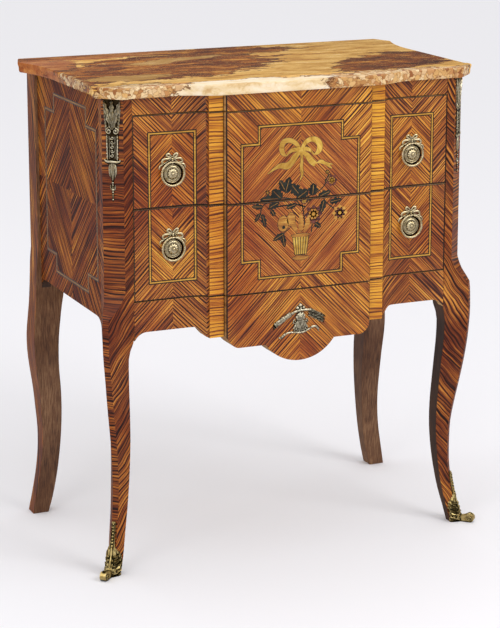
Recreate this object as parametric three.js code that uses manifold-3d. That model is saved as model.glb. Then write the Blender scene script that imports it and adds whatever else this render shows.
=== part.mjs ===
// Commode chest on cabriole legs: two drawers in a breakfront carcass under a loose marble top,
// with cast ring pulls, corner mounts, front sabots and an apron mount.
// Millimetres, +Z up, front towards -Y, origin on the floor under the middle of the outline box.

import * as THREE from 'three';
import { mergeVertices } from 'three/addons/utils/BufferGeometryUtils.js';
import Module from 'manifold-3d';

const wasm = await Module();
wasm.setup();

// Carcass
const overallHeight = 846;
const carcassWidth = 676;
const carcassDepth = 407;
const marbleThick = 19;
const friezeHeight = 28;
const drawerPitch = 158;
const drawerCount = 2;
const postWidth = 43;
const postDepth = 43;
const cornerCant = 27.7;
const panelThick = 18;
const railThick = 14;
const subTopThick = 12;
const boardThick = 6;
const backThick = 8;
const backInset = 8;
const backRailHeight = 38;
const backRailThick = 20;

// Clearances
const jointGap = 0.3;
const drawerGap = 1.6;
const sideGap = 0.9;
const runGap = 0.3;
const kickerGap = 1.5;
const overrun = 2;

// Joinery
const tenonLength = 14;
const tenonThick = 7;
const tenonShoulder = 5;
const tongueLength = 8;
const tongueThick = 7;

// Breakfront plan of frieze, drawer fronts and apron
const pullToCentre = 88;
const centreProud = 26;
const centreArris = 8;
const quirkWidth = 1.4;
const quirkDepth = 3;
const pilasterWidth = 26;
const pilasterProud = 15;
const coveWidth = 41;
const coveSteps = 8;
const arrisSteps = 4;
const frontBackFace = 18;

// Apron and side panel lower edges, as drops below the drawers
const apronShoulderDrop = 93;
const apronLobeHalf = 65;
const apronLobeDrop = 34;
const apronLobeSteps = 15;
const apronPilasterDrop = 73;
const apronSideDrop = 54;
const apronRiseSteps = 6;
const bracketWidth = 22;
const bracketDrop = 14;
const bracketTurn = Math.PI / 3;
const bracketSteps = 6;
const sideEdgeDrop = 34;
const sideBracketWidth = 22;
const sideBracketDrop = 19;

// Legs: the shoulder stands above the drawers' lowest edge, the knee point below it
const shoulderRise = 17;
const kneeSwing = 16;
const footCant = 8;
const kneeDrop = 27;
const legSteps = 34;
const sweepSteps = 6;

// Marble
const marbleOverhang = 12;
const marbleEar = 4;
const marbleEarSide = 14;
const marbleBackEar = 23;
const marbleBackEarSide = 43;
const marbleBackSweep = 116;
const marbleBackCant = 14;
const marbleBackOverhang = 2;
const marbleFrontProud = 24;
const marbleSweepStart = 11;
const marbleSweepWidth = 66;
const marbleSweepSteps = 8;
const marbleBackSteps = 6;
const marbleMould = 4;

// Drawer boxes
const drawerSideThick = 10;
const drawerBackThick = 12;
const drawerBackRoom = 23;
const drawerSideDrop = 8;
const drawerLap = 7;
const drawerBackDrop = 10;
const bottomThick = 6;
const bottomRise = 8;
const bottomGroove = 5;
const tailCount = 3;
const tailLength = 12;
const tailTipHalf = 11;
const tailFlare = 3;
const tailStart = 20;
const runnerReach = 12;
const guideRise = 22;

// Ring pulls: how far in from the carcass sides, and heights above each drawer's lower edge
const pullInset = 113;
const pullRises = [56, 86];
const ringRadius = 20;
const ringWire = 2.2;
const ringSides = 8;
const ringSteps = 22;
const ringOpening = 0.2;
const pivotStand = 5.4;
const pivotRadius = 1.1;
const pivotClear = 0.3;
const pivotReach = 1.8;
const lugWidth = 5;
const lugHalfHeight = 2.6;
const plateRadius = 16;
const plateRise = 8;
const plateSides = 12;
const plateSeat = 0.2;
const bowThick = 2.2;
const bowSpan = 23;
const bowLoopRadius = 3.6;
const bowLoopSides = 5;
const bowLoopSteps = 6;
const screwRadius = 1.8;
const screwClear = 0.4;
const screwReach = 4;
const screwHeadRadius = 4.5;
const screwHeadThick = 2.4;
const screwSides = 12;

// Corner mounts
const cornerMountHeight = 171;
const cornerMountHalf = 16;
const cornerMountThick = 3;
const cornerMountTop = 1;
const reliefShare = 0.6;
const reliefEndShare = 0.05;
const bossSides = 8;

// Sabots
const sabotRings = 7;
const sabotWing = 18;
const sabotThick = 2.6;
const sabotStemShare = 0.12;
const toeRings = 2;
const toeRadius = 8;
const toeWidth = 11;
const toeReach = 21;
const toeSides = 14;
const toeScroll = Math.PI * 1.25;
const toeNeckShare = 0.3;

// Apron mount
const trophyHalf = 50;
const trophyDrop = 56;
const trophyThick = 3;
const trophySides = 8;

// Worked out from the sizes above
const carcassHalf = carcassWidth / 2;
const carcassTop = overallHeight - marbleThick;
const drawersTop = carcassTop - friezeHeight;
const drawersBottom = drawersTop - drawerCount * drawerPitch;
const apronShoulder = drawersBottom - apronShoulderDrop;
const apronPilasterEdge = drawersBottom - apronPilasterDrop;
const apronSideEdge = drawersBottom - apronSideDrop;
const sideEdge = drawersBottom - sideEdgeDrop;
const shoulderHeight = drawersBottom + shoulderRise;
const kneePoint = drawersBottom - kneeDrop;
const trophyHeight = drawersBottom - trophyDrop;
const openingHalf = carcassHalf - postWidth;
const panelInner = carcassHalf - panelThick;
const rearPostFront = carcassDepth - postDepth;
const pullSpacing = carcassWidth - 2 * pullInset;
const centreHalf = pullSpacing / 2 - pullToCentre;
const pilasterEnd = centreHalf + quirkWidth + pilasterWidth;
const coveEnd = pilasterEnd + coveWidth;
const backFront = carcassDepth - backInset - backThick;
const drawerHalf = openingHalf - drawerGap / 2;
const sideOuter = openingHalf - sideGap - drawerGap / 2;
const sideInner = sideOuter - drawerSideThick;
const drawerRear = backFront - drawerBackRoom;
const runnerInner = sideInner - runnerReach;
const tailRootHalf = tailTipHalf - tailFlare;
const pullPlaces = [-pullSpacing / 2, pullSpacing / 2];
const pivotHeight = ringRadius * Math.cos(ringOpening);
const marbleFront = marbleOverhang + marbleFrontProud;
const marbleSweepInner = centreHalf + marbleSweepStart;
const marbleSweepOuter = marbleSweepInner + marbleSweepWidth;
const outlineMiddle = (carcassDepth + marbleBackOverhang - marbleFront) / 2;

// Materials
function finish(color, roughness, metalness) {
  return new THREE.MeshStandardMaterial({ color, roughness, metalness });
}

const marble = () => finish('#c79a62', 0.25, 0);
const frontVeneer = () => finish('#a8591f', 0.3, 0);
const legVeneer = () => finish('#8f4a1c', 0.3, 0);
const sideVeneer = () => finish('#7a421d', 0.3, 0);
const carcassWood = () => finish('#b98f5c', 0.7, 0);
const drawerWood = () => finish('#c9a26b', 0.7, 0);
const bronze = () => finish('#b79a55', 0.35, 1);
const steel = () => finish('#9a9a98', 0.4, 1);

// Plane points and vectors
const at = (x, y) => new THREE.Vector2(x, y);
const point = (x, y, z) => new THREE.Vector3(x, y, z);
const mirrored = (outline) => outline.map((p) => at(-p.x, p.y)).reverse();
const mix = (a, b, share) => a + (b - a) * share;

// Closed solids for joining and cutting
function solid(geometry) {
  const bare = geometry.clone();
  bare.deleteAttribute('normal');
  bare.deleteAttribute('uv');
  const merged = mergeVertices(bare);
  const faces = [];
  for (let i = 0; i < merged.index.count; i += 3) {
    const [a, b, c] = [0, 1, 2].map((k) => merged.index.getX(i + k));
    if (a !== b && b !== c && c !== a) {
      faces.push(a, b, c);
    }
  }
  return new wasm.Manifold(new wasm.Mesh({
    numProp: 3,
    vertProperties: new Float32Array(merged.attributes.position.array),
    triVerts: new Uint32Array(faces),
  }));
}

function geometryOf(manifold) {
  const mesh = manifold.getMesh();
  const geometry = new THREE.BufferGeometry();
  geometry.setAttribute('position', new THREE.BufferAttribute(mesh.vertProperties, 3));
  geometry.setIndex(new THREE.BufferAttribute(mesh.triVerts, 1));
  return geometry;
}

function joined(first, ...others) {
  return geometryOf(others.reduce((sum, next) => sum.add(solid(next)), solid(first)));
}

function cut(body, ...tools) {
  return geometryOf(tools.reduce((rest, tool) => rest.subtract(solid(tool)), solid(body)));
}

const common = (a, b) => geometryOf(solid(a).intersect(solid(b)));

// Outlines extruded along one axis: up from a plan, back from an elevation, across from a side view
function extruded(outline, low, high, across, up, along) {
  const geometry = new THREE.ExtrudeGeometry(new THREE.Shape(outline), {
    depth: high - low,
    bevelEnabled: false,
    steps: 1,
  });
  geometry.translate(0, 0, low);
  return geometry.applyMatrix4(new THREE.Matrix4().makeBasis(across, up, along));
}

const axisX = point(1, 0, 0);
const axisY = point(0, 1, 0);
const axisZ = point(0, 0, 1);
const upFrom = (outline, low, high) => extruded(outline, low, high, axisX, axisY, axisZ);
const backFrom = (outline, front, rear) => extruded(outline, -rear, -front, axisX, axisZ, point(0, -1, 0));
const acrossFrom = (outline, left, right) => extruded(outline, left, right, axisY, axisZ, axisX);

function box(x0, x1, y0, y1, z0, z1) {
  const geometry = new THREE.BoxGeometry(x1 - x0, y1 - y0, z1 - z0);
  return geometry.translate((x0 + x1) / 2, (y0 + y1) / 2, (z0 + z1) / 2);
}

// The sizes of a box with every face moved out
const grown = (sizes, by) => sizes.map((size, i) => size + by * (i % 2 === 0 ? -1 : 1));

// The same piece for the other side: mirrored in X with its faces still pointing out
function otherSide(geometry) {
  const flipped = geometry.clone();
  if (!flipped.index) {
    flipped.setIndex([...Array(flipped.attributes.position.count).keys()]);
  }
  flipped.scale(-1, 1, 1);
  const corners = Array.from(flipped.index.array);
  const turned = corners.map((_, i) => corners[i - (i % 3) + [0, 2, 1][i % 3]]);
  flipped.setIndex(turned);
  return flipped;
}

// A skin through rings of points that run anticlockwise when seen from where the loft goes to
function loft(rings, flat = (p) => at(p.x, p.y)) {
  const count = rings[0].length;
  const positions = rings.flat().flatMap((p) => [p.x, p.y, p.z]);
  const faces = [];
  for (let ring = 0; ring < rings.length - 1; ring += 1) {
    for (let i = 0; i < count; i += 1) {
      const a = ring * count + i;
      const b = ring * count + ((i + 1) % count);
      faces.push(a, b, b + count, a, b + count, a + count);
    }
  }
  const top = (rings.length - 1) * count;
  for (const [a, b, c] of THREE.ShapeUtils.triangulateShape(rings[0].map(flat), [])) {
    faces.push(a, c, b);
  }
  for (const [a, b, c] of THREE.ShapeUtils.triangulateShape(rings.at(-1).map(flat), [])) {
    faces.push(top + a, top + b, top + c);
  }
  const geometry = new THREE.BufferGeometry();
  geometry.setAttribute('position', new THREE.Float32BufferAttribute(positions, 3));
  geometry.setIndex(faces);
  return geometry;
}

// A turned form about the Y axis, with its profile as distances from the axis and places along -Y
function turned(profile, sides) {
  const geometry = new THREE.LatheGeometry(profile, sides);
  return geometry.applyMatrix4(new THREE.Matrix4().makeBasis(axisX, point(0, -1, 0), point(0, 0, -1)));
}

// Breakfront line from the rounded end of the centre section to the flat beyond the cove
function breakfrontLine() {
  const line = [];
  for (let i = 0; i <= arrisSteps; i += 1) {
    const turn = (Math.PI / 2) * (i / arrisSteps);
    const x = centreHalf - centreArris * (1 - Math.sin(turn));
    line.push(at(x, centreArris * (1 - Math.cos(turn)) - centreProud));
  }
  const quirkFloor = -pilasterProud + quirkDepth;
  line.push(at(centreHalf, quirkFloor), at(centreHalf + quirkWidth, quirkFloor));
  line.push(at(centreHalf + quirkWidth, -pilasterProud));
  for (let i = 0; i <= coveSteps; i += 1) {
    const turn = (Math.PI / 2) * (i / coveSteps);
    line.push(at(coveEnd - coveWidth * Math.cos(turn), -pilasterProud * (1 - Math.sin(turn))));
  }
  return line;
}

function frontPlan(half) {
  const right = [...breakfrontLine(), at(half, 0), at(half, frontBackFace)];
  return [...right, ...mirrored(right)];
}

// Mortise and tenon: one block at the right-hand end of a rail, from the rail's own faces
function tenonBlock(front, rear, low, high) {
  const middle = (front + rear) / 2;
  const half = Math.min(tenonThick, rear - front) / 2;
  return [openingHalf - overrun, openingHalf + tenonLength, middle - half, middle + half,
    low + tenonShoulder, high - tenonShoulder];
}

function withTenons(rail, block) {
  const right = box(...block);
  return joined(rail, right, otherSide(right));
}

// Legs: each row holds the height over the shoulder height, then set-offs over the knee swing: outer
// corner outwards and forwards, inner corner outwards and backwards, and how far the front face and
// the side face draw in from the outer corner to their far edges.
const frontLegShares = [
  [0, 0.56, -0.28, 1.78, -1.2, 0.19, 0.19],
  [0.06, 0.17, -0.53, 1.36, -0.92, 0.19, 0.19],
  [0.1, -0.03, -0.78, 1.12, -0.53, 0.2, 0.2],
  [0.14, -0.22, -1, 0.91, -0.23, 0.2, 0.2],
  [0.22, -0.51, -1.18, 0.56, 0.14, 0.22, 0.22],
  [0.3, -0.59, -1.15, 0.32, 0.39, 0.31, 0.31],
  [0.38, -0.53, -1.07, 0.18, 0.44, 0.36, 0.44],
  [0.46, -0.29, -0.69, 0.16, 0.31, 0.54, 0.62],
  [0.54, 0.04, -0.26, 0.24, 0.1, 0.73, 0.76],
  [0.62, 0.36, 0.11, 0.35, -0.11, 0.91, 0.88],
  [0.7, 0.61, 0.39, 0.48, -0.26, 0.93, 0.93],
  [0.78, 0.81, 0.44, 0.46, -0.3, 0.87, 0.88],
  [0.82, 0.85, 0.44, 0.1, -0.16, 0.6, 0.86],
  [0.86, 0.85, 0.37, 0, 0, 0.37, 0.85],
  [0.912, 0.78, 0.29, 0, 0, 0.29, 0.78],
  [0.936, 0.52, 0.2, 0, 0, 0.2, 0.52],
  [0.952, 0.31, 0.125, 0, 0, 0.125, 0.31],
  [0.97, 0.16, 0.07, 0, 0, 0.07, 0.16],
  [1, 0, 0, 0, 0, 0, 0],
];

// Back legs: outer and inner corner outwards, front face backwards, back face forwards
const rearLegShares = [
  [0, 1.78, 2.6, -0.38, 1.25],
  [0.04, 1.58, 2.22, -0.4, 1.45],
  [0.08, 1.37, 1.9, -0.42, 1.6],
  [0.16, 0.94, 1.46, -0.55, 1.68],
  [0.24, 0.65, 1.2, -0.78, 1.64],
  [0.32, 0.59, 1.03, -0.96, 1.56],
  [0.4, 0.75, 0.96, -1.06, 1.42],
  [0.48, 0.93, 1.04, -1.2, 1.2],
  [0.56, 1.24, 1.2, -1.2, 1.05],
  [0.62, 1.36, 1.18, -1.1, 0.8],
  [0.68, 1.32, 1.02, -0.85, 0.62],
  [0.74, 1.13, 0.72, -0.6, 0.58],
  [0.79, 0.93, 0.45, -0.4, 0.5],
  [0.824, 0.82, 0.2, -0.25, 0.42],
  [0.86, 0.72, 0, 0, 0.3],
  [0.912, 0.6, 0, 0, 0.15],
  [0.956, 0.5, 0, 0, 0.05],
  [1, 0.35, 0, 0, 0],
];

// A smooth curve through one column of a table, over the shares in its first column
function columnAt(rows, column, share) {
  const last = rows.length - 1;
  const start = Math.max(rows.findIndex((row) => row[0] >= share) - 1, 0);
  const [from, to] = [rows[start], rows[start + 1]];
  const slope = (i) => {
    const [before, after] = [rows[Math.max(i - 1, 0)], rows[Math.min(i + 1, last)]];
    return (after[column] - before[column]) / (after[0] - before[0]);
  };
  const run = to[0] - from[0];
  const t = (share - from[0]) / run;
  const bend = run * t * (1 - t) * (slope(start) * (1 - t) - slope(start + 1) * t);
  return from[column] * (1 + 2 * t) * (1 - t) ** 2 + to[column] * (3 - 2 * t) * t ** 2 + bend;
}

function setOffs(rows, height) {
  const share = Math.min(height / shoulderHeight, 1);
  return rows[0].slice(1).map((_, i) => columnAt(rows, i + 1, share) * kneeSwing);
}

// The post's cant sweeps out and narrows to the knee point, and runs on as a narrow chamfer
function cantAt(height) {
  const share = THREE.MathUtils.clamp((height - kneePoint) / (shoulderHeight - kneePoint), 0, 1);
  return footCant + (cornerCant - footCant) * (1 - (1 - share) ** 1.5);
}

function legHeights() {
  const heights = [];
  for (let i = 0; i <= legSteps; i += 1) {
    heights.push((shoulderHeight * i) / legSteps);
  }
  for (let i = 0; i <= sweepSteps; i += 1) {
    heights.push(mix(kneePoint, shoulderHeight, i / sweepSteps));
  }
  heights.push(carcassTop);
  const least = shoulderHeight / legSteps / 4;
  const sorted = heights.sort((a, b) => a - b);
  const fixed = [0, kneePoint, shoulderHeight, carcassTop];
  return sorted.filter((z) => fixed.includes(z) || fixed.every((edge) => Math.abs(z - edge) > least));
}

function frontLegRing(height) {
  const [out, forward, innerOut, innerBack, frontDraw, sideDraw] = setOffs(frontLegShares, height);
  const outerX = carcassHalf + out;
  const innerX = openingHalf + innerOut;
  const backY = postDepth + innerBack;
  const cant = cantAt(height);
  return [
    point(innerX, frontDraw - forward, height),
    point(outerX - cant, -forward, height),
    point(outerX, cant - forward, height),
    point(outerX - sideDraw, backY, height),
    point(innerX, backY, height),
  ];
}

function rearLegRing(height) {
  const [out, innerOut, frontBack, backForward] = setOffs(rearLegShares, height);
  const [outerX, innerX] = [carcassHalf + out, openingHalf + innerOut];
  const [frontY, backY] = [rearPostFront + frontBack, carcassDepth - backForward];
  return [
    point(innerX, frontY, height),
    point(outerX, frontY, height),
    point(outerX, backY, height),
    point(innerX, backY, height),
  ];
}

// Levels: each drawer's front, its rail and the height that its sides run on
function level(index) {
  const frontLow = drawersTop - (index + 1) * drawerPitch;
  const frontHigh = frontLow + drawerPitch - drawerGap;
  const bearing = frontLow + drawerLap;
  return { frontLow, frontHigh, bearing, sideHigh: frontHigh - drawerSideDrop };
}

const levels = [...Array(drawerCount).keys()].map(level);
const levelNames = ['upper', 'lower'];

// Shared places of the joints between posts, rails and panels
const railFront = frontBackFace + jointGap;
const apronTop = drawersBottom - drawerGap;
const tongueSetBack = (panelThick - tongueThick) / 2;
const railTenons = levels.map(({ bearing }) => (
  tenonBlock(railFront, postDepth, bearing - railThick, bearing)
));
const friezeTenon = tenonBlock(0, frontBackFace, drawersTop, carcassTop);
const apronTenon = tenonBlock(0, frontBackFace, apronSideEdge, apronTop);
const backRailLow = sideEdge;
const backRailTenon = tenonBlock(backFront - backThick, backFront - backThick + backRailThick, backRailLow,
  backRailLow + backRailHeight);
const backGroove = [openingHalf - overrun, openingHalf + tongueLength, backFront, backFront + backThick,
  backRailLow + backRailHeight + jointGap, carcassTop];

function sideTongue(rootY, tipY) {
  return [panelInner + tongueSetBack, carcassHalf - tongueSetBack, Math.min(rootY, tipY),
    Math.max(rootY, tipY), sideEdge + tenonShoulder, carcassTop - tenonShoulder];
}

const frontTongue = sideTongue(postDepth - tongueLength, postDepth + overrun);
const rearTongue = sideTongue(rearPostFront + tongueLength, rearPostFront - overrun);

function frontLeg() {
  const body = loft(legHeights().map(frontLegRing));
  const mortises = [...railTenons, friezeTenon, apronTenon, frontTongue];
  return cut(body, ...mortises.map((m) => box(...grown(m, jointGap))));
}

function rearLeg() {
  const body = loft(legHeights().map(rearLegRing));
  const groove = grown(backGroove, jointGap);
  groove[5] += overrun;
  const mortises = [backRailTenon, rearTongue].map((m) => box(...grown(m, jointGap)));
  return cut(body, ...mortises, box(...groove));
}

// Side panel with its shaped lower edge, tongued into both posts
function sidePanel() {
  const front = postDepth + jointGap;
  const rear = rearPostFront - jointGap;
  const edge = [];
  for (let i = 0; i <= bracketSteps; i += 1) {
    const turn = (Math.PI / 2) * (i / bracketSteps);
    const y = front + sideBracketWidth * (1 - Math.cos(turn));
    edge.push(at(y, sideEdge - sideBracketDrop * (1 - Math.sin(turn))));
  }
  const back = edge.map((p) => at(front + rear - p.x, p.y)).reverse();
  const outline = [...edge, ...back, at(rear, carcassTop), at(front, carcassTop)];
  return joined(acrossFrom(outline, panelInner, carcassHalf), box(...frontTongue), box(...rearTongue));
}

function friezeRail() {
  return withTenons(upFrom(frontPlan(openingHalf - jointGap), drawersTop, carcassTop), friezeTenon);
}

// Apron: half of its lower edge, from the middle of the lobe to the bracket beside the leg
function apronEdge() {
  const edge = [];
  const lobeRadius = (apronLobeHalf ** 2 + apronLobeDrop ** 2) / (2 * apronLobeDrop);
  const lobeTurn = Math.asin(apronLobeHalf / lobeRadius);
  for (let i = 0; i <= apronLobeSteps; i += 1) {
    const turn = (lobeTurn * i) / apronLobeSteps;
    const rise = lobeRadius * (1 - Math.cos(turn));
    edge.push(at(lobeRadius * Math.sin(turn), apronShoulder - apronLobeDrop + rise));
  }
  for (let i = 0; i <= apronRiseSteps; i += 1) {
    const share = i / apronRiseSteps;
    const x = mix(centreHalf - bracketWidth, centreHalf, share);
    edge.push(at(x, mix(apronShoulder, apronPilasterEdge, share * share)));
  }
  edge.push(at(pilasterEnd, apronPilasterEdge));
  for (let i = 1; i <= apronRiseSteps; i += 1) {
    const share = i / apronRiseSteps;
    const ease = share * share * (3 - 2 * share);
    edge.push(at(pilasterEnd + bracketWidth * share, mix(apronPilasterEdge, apronSideEdge, ease)));
  }
  const end = openingHalf - jointGap;
  for (let i = 0; i <= bracketSteps; i += 1) {
    const turn = (bracketTurn * i) / bracketSteps;
    const along = Math.sin(turn) / Math.sin(bracketTurn);
    const down = (1 - Math.cos(turn)) / (1 - Math.cos(bracketTurn));
    edge.push(at(end - bracketWidth * (1 - along), apronSideEdge - bracketDrop * down));
  }
  return edge;
}

function frontApron() {
  const edge = apronEdge();
  const right = [...edge, at(openingHalf - jointGap, apronTop)];
  const elevation = [...right, ...mirrored(right.slice(1))];
  const block = upFrom(frontPlan(openingHalf - jointGap), 0, apronTop);
  const shaped = common(block, backFrom(elevation, -centreProud - overrun, frontBackFace + overrun));
  return withTenons(shaped, apronTenon);
}

function backRail() {
  const half = openingHalf - jointGap;
  const front = backFront - backThick;
  const rail = box(-half, half, front, front + backRailThick, backRailLow, backRailLow + backRailHeight);
  return withTenons(rail, backRailTenon);
}

function backPanel() {
  const half = openingHalf + tongueLength;
  return box(-half, half, backFront, backFront + backThick, backGroove[4], carcassTop);
}

// Board notched round the four posts
function subTop() {
  const wide = panelInner - jointGap;
  const narrow = openingHalf - jointGap;
  const right = [
    at(narrow, railFront),
    at(narrow, postDepth + jointGap),
    at(wide, postDepth + jointGap),
    at(wide, rearPostFront - jointGap),
    at(narrow, rearPostFront - jointGap),
    at(narrow, backFront - jointGap),
  ];
  return upFrom([...right, ...mirrored(right)], carcassTop - subTopThick, carcassTop);
}

function levelRail({ bearing }, tenon) {
  const half = openingHalf - jointGap;
  return withTenons(box(-half, half, railFront, postDepth, bearing - railThick, bearing), tenon);
}

// Runner under one drawer side, with the guide beside it, as one moulded strip
function runner({ bearing }) {
  const outer = panelInner - jointGap;
  const guide = sideOuter + sideGap;
  const outline = [
    at(runnerInner, bearing - railThick),
    at(outer, bearing - railThick),
    at(outer, bearing + guideRise),
    at(guide, bearing + guideRise),
    at(guide, bearing),
    at(runnerInner, bearing),
  ];
  return backFrom(outline, postDepth + jointGap, rearPostFront - jointGap);
}

function dustBoard({ bearing }) {
  const half = runnerInner - jointGap;
  const low = bearing - railThick + (railThick - boardThick) / 2;
  return box(-half, half, postDepth + jointGap, backFront - backThick - jointGap, low, low + boardThick);
}

function kicker() {
  const low = levels[0].sideHigh + kickerGap;
  const high = carcassTop - subTopThick - jointGap;
  return box(runnerInner, panelInner - jointGap, postDepth + jointGap, rearPostFront - jointGap, low, high);
}

// Drawer boxes: tails on the sides, sockets in the front and back
function tailCentres(low, high) {
  const first = low + tailStart + tailTipHalf;
  const last = high - tailTipHalf - tailFlare;
  return [...Array(tailCount).keys()].map((i) => mix(first, last, i / (tailCount - 1)));
}

function tailLine(root, tip, centres) {
  return centres.flatMap((z) => [
    at(root, z - tailRootHalf),
    at(tip, z - tailTipHalf),
    at(tip, z + tailTipHalf),
    at(root, z + tailRootHalf),
  ]);
}

function sockets(root, tip, centres, left, right) {
  const way = Math.sign(tip - root);
  return centres.map((z) => acrossFrom([
    at(root - way * overrun, z - tailRootHalf - jointGap),
    at(tip + way * jointGap, z - tailTipHalf - jointGap),
    at(tip + way * jointGap, z + tailTipHalf + jointGap),
    at(root - way * overrun, z + tailRootHalf + jointGap),
  ], left, right));
}

function drawerSizes({ frontLow, frontHigh, bearing, sideHigh }, index) {
  const low = bearing + runGap;
  const bottomLow = low + bottomRise;
  const centres = tailCentres(low, sideHigh);
  const pullHeight = frontLow + pullRises[index];
  return { frontLow, frontHigh, low, sideHigh, bottomLow, centres, pullHeight };
}

function drawerSide(sizes) {
  const front = frontBackFace + jointGap;
  const rear = drawerRear - drawerBackThick - jointGap;
  const outline = [
    at(front, sizes.low),
    at(rear, sizes.low),
    ...tailLine(rear, drawerRear, sizes.centres),
    at(rear, sizes.sideHigh),
    at(front, sizes.sideHigh),
    ...tailLine(front, frontBackFace - tailLength, sizes.centres).reverse(),
  ];
  const groove = box(sideInner - overrun, sideInner + bottomGroove, -overrun, drawerRear + overrun,
    sizes.bottomLow - jointGap, sizes.bottomLow + bottomThick + jointGap);
  return cut(acrossFrom(outline, sideInner, sideOuter), groove);
}

function drawerFront(sizes) {
  const body = upFrom(frontPlan(drawerHalf), sizes.frontLow, sizes.frontHigh);
  const right = sockets(frontBackFace + jointGap, frontBackFace - tailLength, sizes.centres,
    sideInner - jointGap, drawerHalf + overrun);
  const grooveHalf = sideInner + bottomGroove;
  const groove = box(-grooveHalf, grooveHalf, frontBackFace - bottomGroove, frontBackFace + overrun,
    sizes.bottomLow - jointGap, sizes.bottomLow + bottomThick + jointGap);
  const holes = pullPlaces.map((x) => screwHole(x, sizes));
  return cut(body, ...right, ...right.map(otherSide), groove, ...holes);
}

function drawerBack(sizes) {
  const front = drawerRear - drawerBackThick;
  const body = box(-sideOuter, sideOuter, front, drawerRear, sizes.bottomLow + bottomThick + jointGap,
    sizes.sideHigh - drawerBackDrop);
  const right = sockets(front - jointGap, drawerRear, sizes.centres, sideInner - jointGap,
    sideOuter + overrun);
  return cut(body, ...right, ...right.map(otherSide));
}

function drawerBottom(sizes) {
  const half = sideInner + bottomGroove - jointGap;
  const front = frontBackFace - bottomGroove + jointGap;
  return box(-half, half, front, drawerRear, sizes.bottomLow, sizes.bottomLow + bottomThick);
}

// Ring pulls, built round the ring's middle on the drawer face, front towards -Y
function screwHole(x, { pullHeight }) {
  const radius = screwRadius + screwClear;
  const bore = new THREE.CylinderGeometry(radius, radius, frontBackFace + 2 * overrun, screwSides);
  return bore.translate(x, frontBackFace / 2, pullHeight);
}

function pullRing() {
  const sections = [];
  for (let i = 0; i <= ringSteps; i += 1) {
    const turn = mix(ringOpening, 2 * Math.PI - ringOpening, i / ringSteps);
    const radial = point(Math.sin(turn), 0, Math.cos(turn));
    const centre = radial.clone().multiplyScalar(ringRadius).setY(-pivotStand);
    const section = [];
    for (let side = 0; side < ringSides; side += 1) {
      const round = (2 * Math.PI * side) / ringSides;
      section.push(centre.clone()
        .addScaledVector(radial, ringWire * Math.cos(round))
        .addScaledVector(axisY, -ringWire * Math.sin(round)));
    }
    sections.push(section);
  }
  const wire = loft(sections, (p) => at(p.z, -p.y));
  const inner = lugWidth / 2 - pivotReach;
  const outer = ringRadius * Math.sin(ringOpening) + ringWire / 2;
  const pin = new THREE.CylinderGeometry(pivotRadius, pivotRadius, outer - inner, ringSides);
  pin.rotateZ(Math.PI / 2).translate((inner + outer) / 2, -pivotStand, pivotHeight);
  return joined(wire, pin, otherSide(pin));
}

// Rosette profile: distance from the axis over the plate radius, height over the plate rise
const rosetteShares = [
  [0, 0],
  [1, 0],
  [1, 0.16],
  [0.9, 0.3],
  [0.8, 0.26],
  [0.74, 0.55],
  [0.6, 0.66],
  [0.5, 0.48],
  [0.38, 0.9],
  [0, 1],
];

// Bow over its half span, from the pivot: knot, loop centres and the end of a tail
const knotShares = [0, 0.22];
const loopShares = [[0.26, 0.41], [0.61, 0.04]];
const tailShares = [1, -0.43];

function wireBetween(start, end, radius, sides) {
  const way = end.clone().sub(start);
  const rod = new THREE.CylinderGeometry(radius, radius, way.length(), sides);
  rod.applyQuaternion(new THREE.Quaternion().setFromUnitVectors(axisY, way.clone().normalize()));
  return rod.translate(...start.clone().add(end).divideScalar(2).toArray());
}

// Backplate: rosette, ribbon bow of four loops and two tails, and the lug that holds the ring
function pullPlate() {
  const profile = rosetteShares.map(([out, rise]) => at(out * plateRadius, plateSeat + rise * plateRise));
  const rosette = turned(profile, plateSides);
  const low = -plateSeat;
  const middle = low - bowThick / 2;
  const wire = bowThick / 2;
  const bowPoint = ([x, z]) => point(x * bowSpan, middle, pivotHeight + z * bowSpan);
  const knot = bowPoint(knotShares);
  const [upper, lower] = loopShares.map(bowPoint);
  const neck = box(-lugWidth / 2, lugWidth / 2, low - bowThick, low, plateRadius - bowThick, knot.z);
  const lug = box(-lugWidth / 2, lugWidth / 2, -pivotStand - lugHalfHeight, middle,
    pivotHeight - lugHalfHeight, pivotHeight + lugHalfHeight);
  const right = [upper, lower].map((centre) => {
    const loop = new THREE.TorusGeometry(bowLoopRadius, wire, bowLoopSides, bowLoopSteps);
    return loop.rotateX(Math.PI / 2).translate(...centre.toArray());
  });
  right.push(wireBetween(knot, upper, wire, bowLoopSides));
  right.push(wireBetween(knot, lower, wire, bowLoopSides));
  right.push(wireBetween(lower, bowPoint(tailShares), wire, bowLoopSides));
  const pivotHole = new THREE.CylinderGeometry(pivotRadius + pivotClear, pivotRadius + pivotClear,
    lugWidth + 2 * overrun, ringSides);
  pivotHole.rotateZ(Math.PI / 2).translate(0, -pivotStand, pivotHeight);
  const boreRadius = screwRadius + screwClear;
  const boreDepth = screwReach + screwClear;
  const bore = new THREE.CylinderGeometry(boreRadius, boreRadius, boreDepth + overrun, screwSides);
  bore.translate(0, low + (overrun - boreDepth) / 2, 0);
  const reach = pivotHeight + bowSpan;
  const behind = box(-reach, reach, low, frontBackFace, -reach, reach);
  return cut(joined(rosette, neck, lug, ...right, ...right.map(otherSide)), pivotHole, bore, behind);
}

function pullScrew() {
  const seat = -frontBackFace - jointGap;
  const tip = plateSeat + screwReach;
  const profile = [
    at(0, seat - screwHeadThick),
    at(screwHeadRadius - screwHeadThick / 2, seat - screwHeadThick),
    at(screwHeadRadius, seat - screwHeadThick / 2),
    at(screwHeadRadius, seat),
    at(screwRadius, seat),
    at(screwRadius, tip - screwRadius / 2),
    at(screwRadius / 2, tip),
    at(0, tip),
  ];
  return geometryOf(solid(turned(profile, screwSides)));
}

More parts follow.
